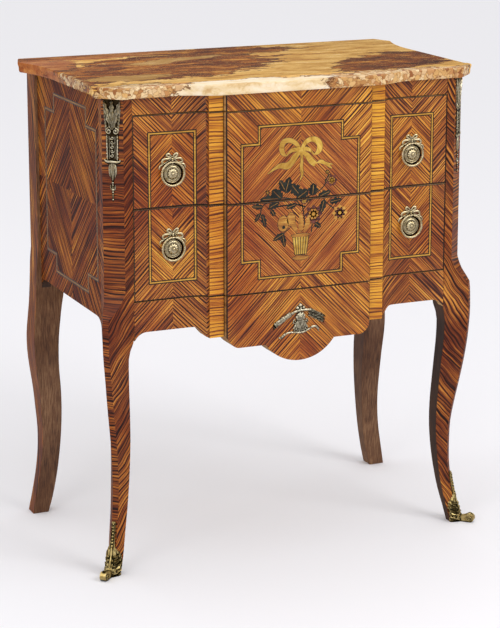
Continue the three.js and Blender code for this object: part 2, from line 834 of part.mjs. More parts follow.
// Corner mount: half widths down its height, as shares of the height and of the top's half width
const cornerMountShares = [
  [0, 0.85],
  [0.04, 1],
  [0.12, 0.94],
  [0.24, 0.82],
  [0.3, 0.66],
  [0.42, 0.62],
  [0.5, 0.56],
  [0.56, 0.54],
  [0.6, 0.9],
  [0.635, 0.9],
  [0.65, 0.4],
  [0.72, 0.36],
  [0.78, 0.1],
  [0.82, 0.14],
  [0.86, 0.3],
  [0.9, 0.14],
  [0.96, 0.2],
  [1, 0.06],
];

// Bosses on it: place down the height, half width, half height over the height, depth over thickness
const cornerBossShares = [
  [0.17, 0.5, 0.14, 1.6],
  [0.5, 0.3, 0.2, 1.5],
];

function cornerMountOutline(widthShare, endShare) {
  const top = carcassTop - cornerMountTop;
  const left = cornerMountShares.map(([down, half]) => {
    const drop = cornerMountHeight * mix(endShare, 1 - endShare, down);
    return at(-half * cornerMountHalf * widthShare, top - drop);
  });
  return [...left, ...mirrored(left)];
}

function cornerMount() {
  const low = -plateSeat;
  const bosses = cornerBossShares.map(([down, half, tall, deep]) => {
    const boss = new THREE.SphereGeometry(1, bossSides, bossSides / 2);
    boss.scale(half * cornerMountHalf, deep * cornerMountThick, tall * cornerMountHeight);
    return boss.translate(0, low, carcassTop - cornerMountTop - down * cornerMountHeight);
  });
  const base = backFrom(cornerMountOutline(1, 0), low - cornerMountThick / 2, low);
  const raised = backFrom(cornerMountOutline(reliefShare, reliefEndShare), low - cornerMountThick, low);
  const behind = box(-cornerMountHeight, cornerMountHeight, low, cornerMountHeight, 0, overallHeight);
  const casting = cut(joined(base, raised, ...bosses), behind);
  casting.rotateZ(Math.PI / 4);
  return casting.translate(carcassHalf - cornerCant / 2, cornerCant / 2, 0);
}

// Sabot: a shell of two wings on the foot's outer corner, standing off the wood, with a scrolled toe
function cornerChain(ring, wing, off) {
  const [inner, front, side, rear] = inset(ring.map((p) => at(p.x, p.y)), -off);
  const along = (from, to) => from.clone().add(to.clone().sub(from).setLength(wing));
  return [along(front, inner), front, side, along(side, rear)].map((p) => point(p.x, p.y, ring[0].z));
}

function sabot() {
  const rings = legHeights().slice(0, sabotRings + 1).map(frontLegRing);
  const top = rings.at(-1)[0].z;
  const shell = loft(rings.map((ring) => {
    const wing = sabotWing * Math.max(sabotStemShare, 1 - (ring[0].z / top) ** 1.6);
    const outer = cornerChain(ring, wing, jointGap + sabotThick);
    const inner = cornerChain(ring, wing, jointGap);
    return [...outer, ...inner.reverse()];
  }));
  const noses = rings.slice(0, toeRings + 1)
    .map(([, front, side]) => front.clone().add(side).divideScalar(2));
  const [foot] = noses;
  const setBack = noses.map((nose) => {
    const back = (foot.x - nose.x + nose.y - foot.y) / Math.SQRT2;
    return at(jointGap + sabotThick / 2 - back, nose.z);
  });
  const crown = setBack.at(-1);
  const side = [...setBack].reverse();
  side.push(at(toeReach - toeRadius, 0));
  for (let i = 1; i <= toeSides; i += 1) {
    const turn = (toeScroll * i) / toeSides - Math.PI / 2;
    side.push(at(toeReach + toeRadius * Math.cos(turn), toeRadius + toeRadius * Math.sin(turn)));
  }
  side.push(at(mix(crown.x, toeReach, toeNeckShare), toeRadius * (1 + toeNeckShare)));
  side.push(at(crown.x + sabotThick, crown.y));
  const toe = backFrom(side, -toeWidth / 2, toeWidth / 2);
  toe.rotateZ(-Math.PI / 4).translate(foot.x, foot.y, 0);
  return joined(shell, toe);
}

// Apron mount: quiver, cross band, spray, stem, centre, tassels and ribbon as rods, with both ends in
// shares of the half width and the radius in shares of the thickness
const trophyRodShares = [
  [[-1, -0.12], [-0.34, 0.29], 1.35],
  [[-0.36, 0.28], [0.26, 0.32], 0.8],
  [[0.22, 0.31], [0.94, 0.04], 1.2],
  [[0, 0.28], [0, 0.56], 0.6],
  [[0, 0.3], [0, -0.1], 1.1],
  [[-0.08, -0.1], [-0.26, -0.36], 0.8],
  [[0.08, -0.1], [0.28, -0.3], 0.8],
  [[-0.74, -0.54], [-0.5, -0.37], 0.7],
  [[-0.52, -0.38], [-0.1, -0.4], 0.7],
  [[-0.14, -0.4], [0.22, -0.34], 0.8],
  [[0.18, -0.35], [0.5, -0.24], 0.7],
  [[0.48, -0.24], [0.7, -0.4], 0.7],
];

// Its spray, trefoil, medallion and bell as bosses: centre and half sizes in shares of the half width,
// depth in shares of the thickness
const trophyBossShares = [
  [[0.62, 0.16], [0.2, 0.12], 1.6],
  [[0, 0.46], [0.14, 0.08], 1.4],
  [[0, 0.1], [0.14, 0.14], 1.9],
  [[0, -0.14], [0.22, 0.2], 1.3],
];

function apronMount() {
  const face = -centreProud;
  const place = ([x, z]) => point(x * trophyHalf, face, trophyHeight + z * trophyHalf);
  const rods = trophyRodShares.map(([start, end, radius]) => (
    wireBetween(place(start), place(end), radius * trophyThick, trophySides)
  ));
  const bosses = trophyBossShares.map(([centre, [wide, tall], deep]) => {
    const boss = new THREE.SphereGeometry(1, trophySides, trophySides / 2);
    boss.scale(wide * trophyHalf, deep * trophyThick, tall * trophyHalf);
    return boss.translate(...place(centre).toArray());
  });
  const behind = box(-carcassHalf, carcassHalf, face - plateSeat, carcassDepth, 0, overallHeight);
  return cut(joined(...rods, ...bosses), behind);
}

// Marble: outline at its widest, then the edge moulding as insets of that outline
function marbleOutline() {
  const side = carcassHalf + marbleOverhang;
  const ear = side + marbleEar;
  const earFront = -marbleOverhang - marbleEar;
  const back = carcassDepth + marbleBackOverhang;
  const reach = (marbleOverhang + marbleEar) * Math.SQRT2;
  const cantLine = carcassHalf - cornerCant + reach;
  const cove = (x, y, from, way) => [0, 1, 2].map((i) => {
    const turn = from + (way * Math.PI * i) / 4;
    return at(x + marbleEar * Math.cos(turn), y + marbleEar * Math.sin(turn));
  });
  const half = [];
  for (let i = 0; i <= marbleSweepSteps; i += 1) {
    const share = i / marbleSweepSteps;
    const ease = share * share * (3 - 2 * share);
    half.push(at(mix(marbleSweepInner, marbleSweepOuter, share), mix(-marbleFront, -marbleOverhang, ease)));
  }
  const earLeft = cantLine + earFront - marbleEarSide;
  const earTop = ear - cantLine + marbleEarSide;
  const backEar = side + marbleBackEar;
  const sweepEnd = back - marbleBackEarSide;
  half.push(...cove(earLeft - marbleEar, earFront, Math.PI / 2, -1));
  half.push(at(cantLine + earFront, earFront));
  half.push(at(ear, ear - cantLine));
  half.push(...cove(ear, earTop + marbleEar, -Math.PI / 2, -1));
  for (let i = 0; i <= marbleBackSteps; i += 1) {
    const share = i / marbleBackSteps;
    half.push(at(mix(side, backEar, share * share), sweepEnd - marbleBackSweep * (1 - share)));
  }
  half.push(at(backEar - marbleBackCant, back));
  return [...half, ...mirrored(half)];
}

function inset(outline, by) {
  const normal = (from, to) => at(from.y - to.y, to.x - from.x).normalize();
  return outline.map((p, i) => {
    const before = normal(outline.at(i - 1), p);
    const after = normal(p, outline[(i + 1) % outline.length]);
    const reach = by / (1 + before.dot(after));
    return at(p.x + (before.x + after.x) * reach, p.y + (before.y + after.y) * reach);
  });
}

// Edge moulding: height over the thickness, inset over the moulding's depth
const mouldShares = [
  [0, 1],
  [0.08, 0.7],
  [0.22, 0.5],
  [0.42, 0.46],
  [0.56, 0.38],
  [0.68, 0.2],
  [0.78, 0.05],
  [0.9, 0],
  [0.97, 0.1],
  [1, 0.35],
];

function marbleTop() {
  const outline = marbleOutline();
  return loft(mouldShares.map(([rise, depth]) => {
    const z = carcassTop + jointGap + rise * (marbleThick - jointGap);
    return inset(outline, depth * marbleMould).map((p) => point(p.x, p.y, z));
  }));
}

// Assembly
const chest = new THREE.Group();
chest.name = 'commode_chest';
chest.position.y = -outlineMiddle;

function add(name, geometry, material, x = 0, y = 0, z = 0) {
  const mesh = new THREE.Mesh(geometry, material());
  mesh.name = name;
  mesh.position.set(x, y, z);
  chest.add(mesh);
}

function addPair(name, geometry, material) {
  add(`${name}_right`, geometry, material);
  add(`${name}_left`, otherSide(geometry), material);
}

add('marble_top', marbleTop(), marble);
addPair('leg_front', frontLeg(), legVeneer);
addPair('leg_back', rearLeg(), legVeneer);
addPair('side_panel', sidePanel(), sideVeneer);
add('frieze_rail', friezeRail(), frontVeneer);
add('front_apron', frontApron(), frontVeneer);
add('back_rail', backRail(), carcassWood);
add('back_panel', backPanel(), carcassWood);
add('sub_top', subTop(), carcassWood);
addPair('kicker', kicker(), carcassWood);

levels.forEach((place, index) => {
  const name = levelNames[index];
  add(`${name}_rail`, levelRail(place, railTenons[index]), carcassWood);
  addPair(`${name}_runner`, runner(place), carcassWood);
  add(`${name}_dust_board`, dustBoard(place), carcassWood);
  const sizes = drawerSizes(place, index);
  add(`${name}_drawer_front`, drawerFront(sizes), frontVeneer);
  addPair(`${name}_drawer_side`, drawerSide(sizes), drawerWood);
  add(`${name}_drawer_back`, drawerBack(sizes), drawerWood);
  add(`${name}_drawer_bottom`, drawerBottom(sizes), drawerWood);
  pullPlaces.forEach((x, side) => {
    const pull = `${name}_pull_${side === 0 ? 'left' : 'right'}`;
    add(`${pull}_plate`, pullPlate(), bronze, x, 0, sizes.pullHeight);
    add(`${pull}_ring`, pullRing(), bronze, x, 0, sizes.pullHeight);
    add(`${pull}_screw`, pullScrew(), steel, x, 0, sizes.pullHeight);
  });
});

addPair('corner_mount', cornerMount(), bronze);
addPair('sabot', sabot(), bronze);
add('apron_mount', apronMount(), bronze);

export default chest;
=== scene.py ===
"""Commode chest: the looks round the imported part, laid out as an add-on and run as a script."""

import math

import bpy
import bmesh
from mathutils import Matrix, Vector
from mathutils.bvhtree import BVHTree


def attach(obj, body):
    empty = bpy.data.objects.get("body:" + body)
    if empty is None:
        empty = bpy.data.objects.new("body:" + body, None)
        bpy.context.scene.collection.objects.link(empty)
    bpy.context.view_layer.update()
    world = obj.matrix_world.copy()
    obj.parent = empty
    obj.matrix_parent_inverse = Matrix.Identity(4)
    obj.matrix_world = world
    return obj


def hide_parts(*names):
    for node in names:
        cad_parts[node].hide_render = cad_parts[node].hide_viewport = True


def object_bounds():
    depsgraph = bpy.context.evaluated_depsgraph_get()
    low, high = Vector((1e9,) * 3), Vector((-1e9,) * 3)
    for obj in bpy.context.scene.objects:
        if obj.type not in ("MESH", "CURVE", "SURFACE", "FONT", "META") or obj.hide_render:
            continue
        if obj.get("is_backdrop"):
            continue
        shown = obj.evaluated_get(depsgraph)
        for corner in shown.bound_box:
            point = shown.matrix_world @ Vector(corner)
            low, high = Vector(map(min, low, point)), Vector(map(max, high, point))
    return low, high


bl_info = {
    "name": "Commode Chest",
    "version": (1, 0, 0),
    "blender": (4, 5, 0),
    "location": "3D View > Sidebar > Commode",
    "description": "Builds the veneer, inlay, marble, bronze mounts and stage of a commode chest",
    "category": "Object",
}

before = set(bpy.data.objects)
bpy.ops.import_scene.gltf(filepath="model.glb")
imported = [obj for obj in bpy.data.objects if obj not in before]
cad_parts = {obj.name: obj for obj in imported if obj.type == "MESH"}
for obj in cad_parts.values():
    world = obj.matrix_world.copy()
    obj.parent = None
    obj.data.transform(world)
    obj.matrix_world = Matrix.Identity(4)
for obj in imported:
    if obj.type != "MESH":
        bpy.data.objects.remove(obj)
FRAME_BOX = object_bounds()
MM = 0.001

# Places in the row frame, in millimetres
FRONT = -186.5          # the recessed front plane
CENTRE_FACE = FRONT - 26
PILASTER_FACE = FRONT - 15
DRAWERS_TOP, DRAWER_GAP_HEIGHT, DRAWERS_BOTTOM = 799, 641, 483
CENTRE_HALF, QUIRK_END, PILASTER_END, COVE_END = 137, 138.4, 164.4, 205.4
PULL_OUT = 225
PULL_HEIGHTS = {"upper": 697, "lower": 569}
SIDE_FACE = 338
LEVELS = {"upper": (641.0, 797.4), "lower": (483.0, 639.4)}     # the drawer fronts
# EDGE is the width of the near black band of painted shade round each drawer front
DRAWER_HALF, EDGE = 294.2, 1.5
SIDES = (("right", 1), ("left", -1))


# Colours and nodes

def linear(code):
    """An sRGB hex value as linear red, green, blue and full cover."""
    parts = [int(code[i:i + 2], 16) / 255 for i in (1, 3, 5)]
    return (*[p / 12.92 if p <= 0.04045 else ((p + 0.055) / 1.055) ** 2.4 for p in parts], 1.0)


def node(tree, kind, settings=None, links=None):
    """Adds one node: settings are its properties or, by number or name, its socket values.

    links gives sockets their source: a socket, or a node for its first output.
    """
    new = tree.nodes.new("ShaderNode" + kind)
    for key, value in (settings or {}).items():
        if isinstance(key, int) or key in new.inputs:
            new.inputs[key].default_value = value
        else:
            setattr(new, key, value)
    for key, source in (links or {}).items():
        socket = source if isinstance(source, bpy.types.NodeSocket) else source.outputs[0]
        tree.links.new(socket, new.inputs[key])
    return new


def new_material(name):
    """An empty node material, and its node tree."""
    material = bpy.data.materials.new(name)
    material.use_nodes = True
    material.node_tree.nodes.clear()
    return material, material.node_tree


def ramp(tree, source, stops):
    """A colour band over a value: stops are places and colours, as hex values or linear."""
    band = node(tree, "ValToRGB", links={0: source})
    points = band.color_ramp.elements
    while len(points) < len(stops):
        points.new(0.5)
    for point, (place, code) in zip(points, stops):
        point.position = place
        point.color = linear(code) if isinstance(code, str) else code
    return band


# Materials

WAVE_TURN = math.pi / 10        # a wave texture's scale for one band each metre
SWIRL_RATE, WEAR_RATE = 9.0, 7.0        # per metre
PIN_STRETCH = 0.035     # a pin line's waver across the grain runs this much slower along it
# Noise layers of a wood: rates along and across the grain as shares of its stripes', detail and roughness
GRAIN_LAYERS = ((1, 1, 2.5, 0.62), (5, 4.5, 3.0, 0.7), (0.4, 0.12, 1.0, 0.5))


def wood(name, stops, across, along, roughness=0.3, coat=0.2, relief=0.05, tone="#FFFFFF", waver=0.0,
         pin=0, shine=0.5):
    """Straight-grained wood or veneer: stripes across the grain, drawn out along it.

    across and along are stripes per metre, pin is dark lines per metre, and tone tints the duller parts.
    The map of each face holds metres along and across the grain.
    """
    material, tree = new_material(name)
    place = node(tree, "TexCoord")
    swirl = node(tree, "TexNoise", {"Scale": SWIRL_RATE, "Detail": 2.0}, {"Vector": place.outputs["UV"]})
    shift = node(tree, "VectorMath", {"operation": "MULTIPLY_ADD", 1: (waver, waver, 0)},
                 {0: swirl.outputs["Color"], 2: place.outputs["UV"]})
    stripes, pores, clouds = [
        node(tree, "TexNoise", {"Scale": 1.0, "Detail": detail, "Roughness": rough}, {"Vector": node(
            tree, "Mapping", {"Scale": (along * drawn_out, across * packed, 1)}, {"Vector": shift})})
        for drawn_out, packed, detail, rough in GRAIN_LAYERS]
    figure = node(tree, "Math", {"operation": "MULTIPLY_ADD", 1: 0.45}, {0: pores, 2: stripes})
    level = node(tree, "Math", {"operation": "MULTIPLY_ADD", 1: 0.3}, {0: clouds, 2: figure})
    if pin:
        ruled = node(tree, "Mapping", {"Scale": (PIN_STRETCH, 1, 1)}, {"Vector": shift})
        pins = node(tree, "TexWave", {
            "bands_direction": "Y", "Scale": pin * WAVE_TURN, "Distortion": 16.0, "Detail": 4.0,
            "Detail Scale": 0.35, "Detail Roughness": 0.75}, {"Vector": ruled})
        cut = node(tree, "MapRange", {1: 0.0, 2: 0.34, 3: -0.34, 4: 0.03}, {0: pins.outputs["Fac"]})
        dense = node(tree, "MapRange", {1: 0.3, 2: 0.62, 3: 0.2, 4: 1.0}, {0: clouds})
        level = node(tree, "Math", {"operation": "MULTIPLY_ADD"}, {0: cut, 1: dense, 2: level})
    color = ramp(tree, node(tree, "MapRange", {1: 0.63, 2: 1.06, 3: 0.0, 4: 1.0}, {0: level}), stops)
    worn = node(tree, "TexNoise", {"Scale": WEAR_RATE, "Detail": 3.0}, {"Vector": place.outputs["Object"]})
    polish = bpy.context.scene.commode_finish.polish_color
    tones = ramp(tree, worn, ((0.35, tone), (0.65, polish)))
    shade = node(tree, "Mix", {"data_type": "RGBA", "blend_type": "MULTIPLY", 0: 1.0}, {6: color, 7: tones})
    gloss = node(tree, "MapRange", {1: 0.3, 2: 0.7, 3: roughness - 0.05, 4: roughness + 0.08}, {0: worn})
    bump = node(tree, "Bump", {"Strength": relief, "Distance": 0.0004}, {"Height": figure})
    shader = node(tree, "BsdfPrincipled", {
        "IOR": 1.5, "Specular IOR Level": shine, "Coat Weight": coat, "Coat Roughness": 0.12},
                  {"Base Color": shade.outputs[2], "Roughness": gloss, "Normal": bump})
    node(tree, "OutputMaterial", links={"Surface": shader})


WOODS = {
    # Tulipwood veneer, sawn and french polished: golden with narrow dark red stripes, glossy
    "tulipwood_veneer": dict(
        stops=((0.0, "#3A1408"), (0.25, "#6E3212"), (0.5, "#B0661C"), (0.75, "#D89226"), (1.0, "#F2B843")),
        across=400, along=7, roughness=0.36, coat=0.06, relief=0.15, tone="#CFA486", waver=0.002, pin=225),
    # Tulipwood inside the inlaid frames: redder, with close thin lines
    "fine_tulipwood_veneer": dict(
        stops=((0.0, "#3A1408"), (0.25, "#743414"), (0.5, "#AC5E20"), (0.72, "#CC822C"), (1.0, "#E8AA40")),
        across=520, along=7, roughness=0.36, coat=0.06, relief=0.12, tone="#D6B098", waver=0.002, pin=285),
    # Tulipwood of the outer frames, frieze and apron ends: darker, redder sheets
    "deep_tulipwood_veneer": dict(
        stops=((0.0, "#2C0E06"), (0.25, "#5E2810"), (0.5, "#98521C"), (0.75, "#C47C26"), (1.0, "#E6A63C")),
        across=400, along=7, roughness=0.36, coat=0.06, relief=0.15, tone="#C89C80", waver=0.002, pin=210),
    # Tulipwood laid with its grain level on the pilasters: paler gold with fine brown lines
    "pilaster_veneer": dict(
        stops=((0.0, "#6C3610"), (0.25, "#B06816"), (0.5, "#D8961E"), (0.8, "#ECB02C"), (1.0, "#F0B440")),
        across=330, along=5, roughness=0.34, coat=0.06, relief=0.12, tone="#E0C09C", waver=0.014, pin=150),
    # Tulipwood of the sides, darker than the front's, its polish gone dull
    "side_tulipwood": dict(
        stops=((0.0, "#100402"), (0.3, "#401406"), (0.52, "#7C380E"), (0.75, "#B06218"), (1.0, "#E09A34")),
        across=300, along=5, roughness=0.46, coat=0.0, relief=0.15, tone="#C8A48C", waver=0.002,
        pin=190, shine=0.2),
    # Tulipwood on the legs, wavy where it bends over the knee
    "leg_tulipwood": dict(
        stops=((0.0, "#240C05"), (0.3, "#582610"), (0.55, "#8A4616"), (0.8, "#B06A20"), (1.0, "#D8963A")),
        across=260, along=8, roughness=0.36, coat=0.03, relief=0.2, tone="#C8A48C", waver=0.04,
        pin=150, shine=0.35),
    # Solid beech of the back legs, stained a middle brown, fine flecked and dull, made paler than the beech
    # inside the front legs as painted light on the lit back legs
    "lit_stained_back_leg": dict(
        stops=((0.0, "#4A2E1A"), (0.5, "#7A5234"), (1.0, "#9A7450")),
        across=420, along=40, roughness=0.5, coat=0.0, relief=0.3, tone="#B8A490"),
    # Stained beech inside the legs and under the edges: dark brown, plain and dull
    "stained_beech": dict(
        stops=((0.0, "#2E1A0F"), (0.5, "#4A2D18"), (1.0, "#5F3E22")),
        across=330, along=14, roughness=0.5, coat=0.0, relief=0.3, tone="#A89A8C"),
    # Poplar and fir of the hidden carcass, planed and left raw
    "planed_poplar": dict(
        stops=((0.0, "#8E6A40"), (0.5, "#B48E5C"), (1.0, "#CBAA78")),
        across=260, along=4, roughness=0.7, coat=0.0, relief=0.3, tone="#D0C0A8", waver=0.01, pin=90),
    # Oak of the drawer boxes, planed, with open pores
    "planed_oak": dict(
        stops=((0.0, "#8A6234"), (0.45, "#B68B54"), (1.0, "#CFA870")),
        across=160, along=6, roughness=0.6, coat=0.0, relief=0.5, tone="#D0BCA0"),
    # Boxwood line, yellow and close grained
    "boxwood_line": dict(
        stops=((0.0, "#8A5C1A"), (0.5, "#B98528"), (1.0, "#D6A640")),
        across=500, along=30),
    # Boxwood line of the sides, a darker brown than the front's
    "side_boxwood_line": dict(
        stops=((0.0, "#6E4420"), (0.5, "#8E602C"), (1.0, "#AC7E3E")),
        across=500, along=30, roughness=0.4, coat=0.05),
    # Ebonised pear line, near black; on the front also painted shade at the drawers' edges, in the quirks and
    # on the centre's side steps
    "ebonised_line_and_gap_shade": dict(
        stops=((0.0, "#120B08"), (1.0, "#2A1A10")),
        across=400, along=30),
    # Satinwood of the inlaid ribbon, pale gold with a green cast and a shaded edge
    "satinwood_inlay": dict(
        stops=((0.0, "#A87A22"), (0.45, "#D2A63A"), (1.0, "#E8C45C")),
        across=140, along=30, tone="#B8A080"),
    # Dyed sycamore leaves, green gone nearly black
    "dyed_leaf_inlay": dict(
        stops=((0.0, "#080A08"), (0.5, "#141812"), (1.0, "#2A2C20")),
        across=200, along=25, roughness=0.32),
    # Burnt holly petals, warm brown shaded in hot sand
    "shaded_petal_inlay": dict(
        stops=((0.0, "#7E4A1C"), (0.5, "#BE8430"), (1.0, "#E0AE50")),
        across=160, along=30, tone="#B08C60"),
    # Dark rosewood petals, purple brown
    "rosewood_inlay": dict(
        stops=((0.0, "#2A1214"), (0.5, "#4E2420"), (1.0, "#7A4030")),
        across=180, along=30),
}


# The marble's figure: rates per metre, and how far its swirls carry a place, in metres
MARBLE_SWIRLS, MARBLE_STONES = 10.0, 120.0
MARBLE_DRIFT = 0.07
# Noise layers for streaks, the fields' edges and the veins: rate, detail, roughness and distortion
MARBLE_LAYERS = ((22.0, 7.0, 0.62, 0.0), (26.0, 6.0, 0.6, 0.0), (34.0, 6.0, 0.68, 1.2))
# Colours of each kind over the streaks
MARBLE_KINDS = {
    "ground": ((0.3, "#C07A2C"), (0.42, "#E4A850"), (0.52, "#F6C068"), (0.62, "#FACB7A"), (0.75, "#FDDC9C")),
    "dark": ((0.3, "#441602"), (0.45, "#743206"), (0.55, "#9C520E"), (0.62, "#C47C26"), (0.75, "#E6B058")),
    "orange": ((0.3, "#7E3A18"), (0.45, "#A85C28"), (0.6, "#C4803E"), (0.75, "#D9A566")),
    "tan": ((0.3, "#9C6A2C"), (0.5, "#C0904A"), (0.75, "#DDB478")),
    "cream": ((0.3, "#C89E68"), (0.42, "#E4C898"), (0.55, "#F0DCBC"), (0.72, "#F6EAD4")),
}
# Kinds that have veins: kind, colour and half width of the veins
MARBLE_VEINED = (("dark", "#E0B060", 0.009), ("orange", "#D0904C", 0.01), ("ground", "#B4742E", 0.006),
                 ("tan", "#7E4C20", 0.007))
# Fields of the marble in order of painting: kind, middle, half size, turn in degrees
MARBLE_FIELDS = (
    ("orange", (-360, 70), (75, 200), 0),
    ("orange", (-215, 200), (170, 42), 0),
    ("dark", (-150, 20), (215, 130), 20),
    ("dark", (20, 165), (130, 50), 0),
    ("dark", (245, -70), (150, 75), 35),
    ("tan", (-265, -85), (75, 34), 5),
    ("tan", (-110, 95), (90, 22), 15),
    ("broken", (-285, -215), (120, 50), 0),
    ("broken", (225, -215), (190, 46), 0),
    ("broken", (-375, -60), (30, 140), 0),
    ("cream", (-85, -218), (135, 42), 0),
)


def breccia_marble():
    """Polished breccia: ochre ground, ragged brown and orange fields, cream and broken stone in front."""
    material, tree = new_material("breccia_marble")
    place = node(tree, "TexCoord").outputs["Object"]
    swirl = node(tree, "TexNoise", {"Scale": MARBLE_SWIRLS, "Detail": 7.0, "Roughness": 0.62},
                 {"Vector": place})
    bent = node(tree, "VectorMath", {"operation": "MULTIPLY_ADD", 1: [MARBLE_DRIFT] * 3},
                {0: swirl.outputs["Color"], 2: place})
    drawn = node(tree, "Mapping", {"Scale": (0.5, 1.9, 1.9)}, {"Vector": bent})
    streak, ragged, net = [
        node(tree, "TexNoise", {"Scale": rate, "Detail": detail, "Roughness": rough, "Distortion": twist},
             {"Vector": drawn})
        for rate, detail, rough, twist in MARBLE_LAYERS]
    cells = node(tree, "TexVoronoi", {"Scale": MARBLE_STONES}, {"Vector": bent})
    seams = node(tree, "TexVoronoi", {"feature": "DISTANCE_TO_EDGE", "Scale": MARBLE_STONES},
                 {"Vector": bent})
    tints = ramp(tree, cells.outputs["Color"], ((0.1, "#A06636"), (0.35, "#D4A668"), (0.6, "#ECD2A4"),
                                                (0.78, "#BE8650"), (0.95, "#8E5430")))
    joint = node(tree, "MapRange", {1: 0.0, 2: 0.08, 3: 0.8, 4: 0.0}, {0: seams.outputs["Distance"]})
    kinds = {kind: ramp(tree, streak, stops) for kind, stops in MARBLE_KINDS.items()}
    kinds["broken"] = node(tree, "Mix", {"data_type": "RGBA", 7: linear("#7E4C26")},
                           {0: joint, 6: tints}).outputs[2]
    off = node(tree, "Math", {"operation": "SUBTRACT", 1: 0.5}, {0: net})
    near = node(tree, "Math", {"operation": "ABSOLUTE"}, {0: off})
    for kind, code, width in MARBLE_VEINED:
        vein = node(tree, "MapRange", {1: width * 0.35, 2: width, 3: 0.85, 4: 0.0}, {0: near})
        kinds[kind] = node(tree, "Mix", {"data_type": "RGBA", 7: linear(code)},
                           {0: vein, 6: kinds[kind]}).outputs[2]
    color = kinds["ground"]
    for kind, middle, size, turn in MARBLE_FIELDS:
        field = node(tree, "Mapping", {
            "vector_type": "TEXTURE", "Location": [part * MM + MARBLE_DRIFT / 2 for part in middle] + [0],
            "Rotation": (0, 0, math.radians(turn)), "Scale": [part * MM for part in size] + [1]},
            {"Vector": bent})
        level = node(tree, "VectorMath", {"operation": "MULTIPLY", 1: (1, 1, 0)}, {0: field})
        length = node(tree, "VectorMath", {"operation": "LENGTH"}, {0: level})
        rough = node(tree, "Math", {"operation": "MULTIPLY_ADD", 1: 1.5},
                     {0: ragged, 2: length.outputs["Value"]})
        # A thin dark seam first, then the field inside it
        for fill, far in ((None, 1.83), (kinds[kind], 1.77)):
            cover = node(tree, "MapRange", {1: far - 0.03, 2: far, 3: 1.0, 4: 0.0}, {0: rough})
            color = node(tree, "Mix", {"data_type": "RGBA", 7: linear("#6E4222")},
                         {0: cover, 6: color, **({7: fill} if fill else {})}).outputs[2]
    polish = node(tree, "MapRange", {1: 0.3, 2: 0.7, 3: 0.16, 4: 0.3}, {0: streak})
    bump = node(tree, "Bump", {"Strength": 0.08, "Distance": 0.0005}, {"Height": swirl})
    shader = node(tree, "BsdfPrincipled", {"IOR": 1.5, "Specular IOR Level": 0.22},
                  {"Base Color": color, "Roughness": polish, "Normal": bump})
    node(tree, "OutputMaterial", links={"Surface": shader})


CHASING_RATE = 900.0    # marks per metre
# Reach of the painted shade that darkens gilding near other surfaces
PAINTED_SHADE_REACH = 0.004    # metres


def gilt(name, dull, bright=None, shade_color="#100A04", blotch=180.0, open_share=0.97):
    """Cast gilt bronze: mercury gilding worn on the high places, with painted shade making it dark in the
    recesses and where it meets other parts.

    Without a bright colour it has the settings' gilding. blotch is the wear's blotches per metre, and
    open_share how open a place is where the painted shade starts.
    """
    material, tree = new_material(name)
    place = node(tree, "TexCoord").outputs["Object"]
    worn = node(tree, "TexNoise", {"Scale": blotch, "Detail": 4.0}, {"Vector": place})
    chased = node(tree, "TexNoise", {"Scale": CHASING_RATE, "Detail": 2.0}, {"Vector": place})
    bright = bright or bpy.context.scene.commode_finish.gilding_color
    gold = ramp(tree, worn, ((0.3, dull), (0.6, bright)))
    # Painted shade: ambient occlusion turns the gilding to the shade colour in recesses and next to other
    # parts
    hollow = node(tree, "AmbientOcclusion", {"samples": 8, "Distance": PAINTED_SHADE_REACH})
    deep = node(tree, "MapRange", {1: open_share - 0.31, 2: open_share, 3: 1.0, 4: 0.0},
                {0: hollow.outputs["AO"]})
    color = node(tree, "Mix", {"data_type": "RGBA", 7: linear(shade_color)}, {0: deep, 6: gold})
    gloss = node(tree, "MapRange", {1: 0.3, 2: 0.7, 3: 0.3, 4: 0.5}, {0: worn})
    bump = node(tree, "Bump", {"Strength": 0.3, "Distance": 0.0003}, {"Height": chased})
    shader = node(tree, "BsdfPrincipled", {"Metallic": 1.0},
                  {"Base Color": color.outputs[2], "Roughness": gloss, "Normal": bump})
    node(tree, "OutputMaterial", links={"Surface": shader})


GILDINGS = {
    # Old pale gilding of the pulls
    "gilt_bronze": dict(dull="#D8C088"),
    # Brighter gilding of the corner mounts, with painted shade only deep between the leaves
    "burnished_bronze": dict(dull="#D8C088", bright="#FFF4D6", blotch=300.0, open_share=0.9),
    # Gilding of the apron mount, rubbed bright on a dark patina in small blotches
    "patinated_bronze": dict(dull="#5A4C30", bright="#FFF4D4", shade_color="#0C0804", blotch=300.0),
    # Punched ground behind the relief of the pulls and corner mounts: dull and nearly black; on the pulls it
    # is a back plate painted dark as the shadow round the rosette
    "punched_ground_and_shadow_bronze": dict(dull="#261C10", bright="#4A3C26", shade_color="#0C0804"),
    # Yellower gilding of the sabots
    "golden_bronze": dict(dull="#E6C474", bright="#FFE6A0"),
}


def blued_steel():
    """Blued steel of the pulls' screws, slightly rusted."""
    material, tree = new_material("blued_steel")
    place = node(tree, "TexCoord").outputs["Object"]
    rust = node(tree, "TexNoise", {"Scale": 700.0, "Detail": 3.0}, {"Vector": place})
    color = ramp(tree, rust, ((0.4, "#3A3A3E"), (0.6, "#5A4A40")))
    shader = node(tree, "BsdfPrincipled", {"Metallic": 1.0, "Roughness": 0.45}, {"Base Color": color})
    node(tree, "OutputMaterial", links={"Surface": shader})


OTHER_FINISHES = {"breccia_marble": breccia_marble, "blued_steel": blued_steel}


def finish(name):
    """The material of that name, made the first time that it is asked for."""
    if name not in bpy.data.materials:
        if name in WOODS:
            wood(name, **WOODS[name])
        elif name in GILDINGS:
            gilt(name, **GILDINGS[name])
        else:
            OTHER_FINISHES[name]()
    return bpy.data.materials[name]


# Meshes

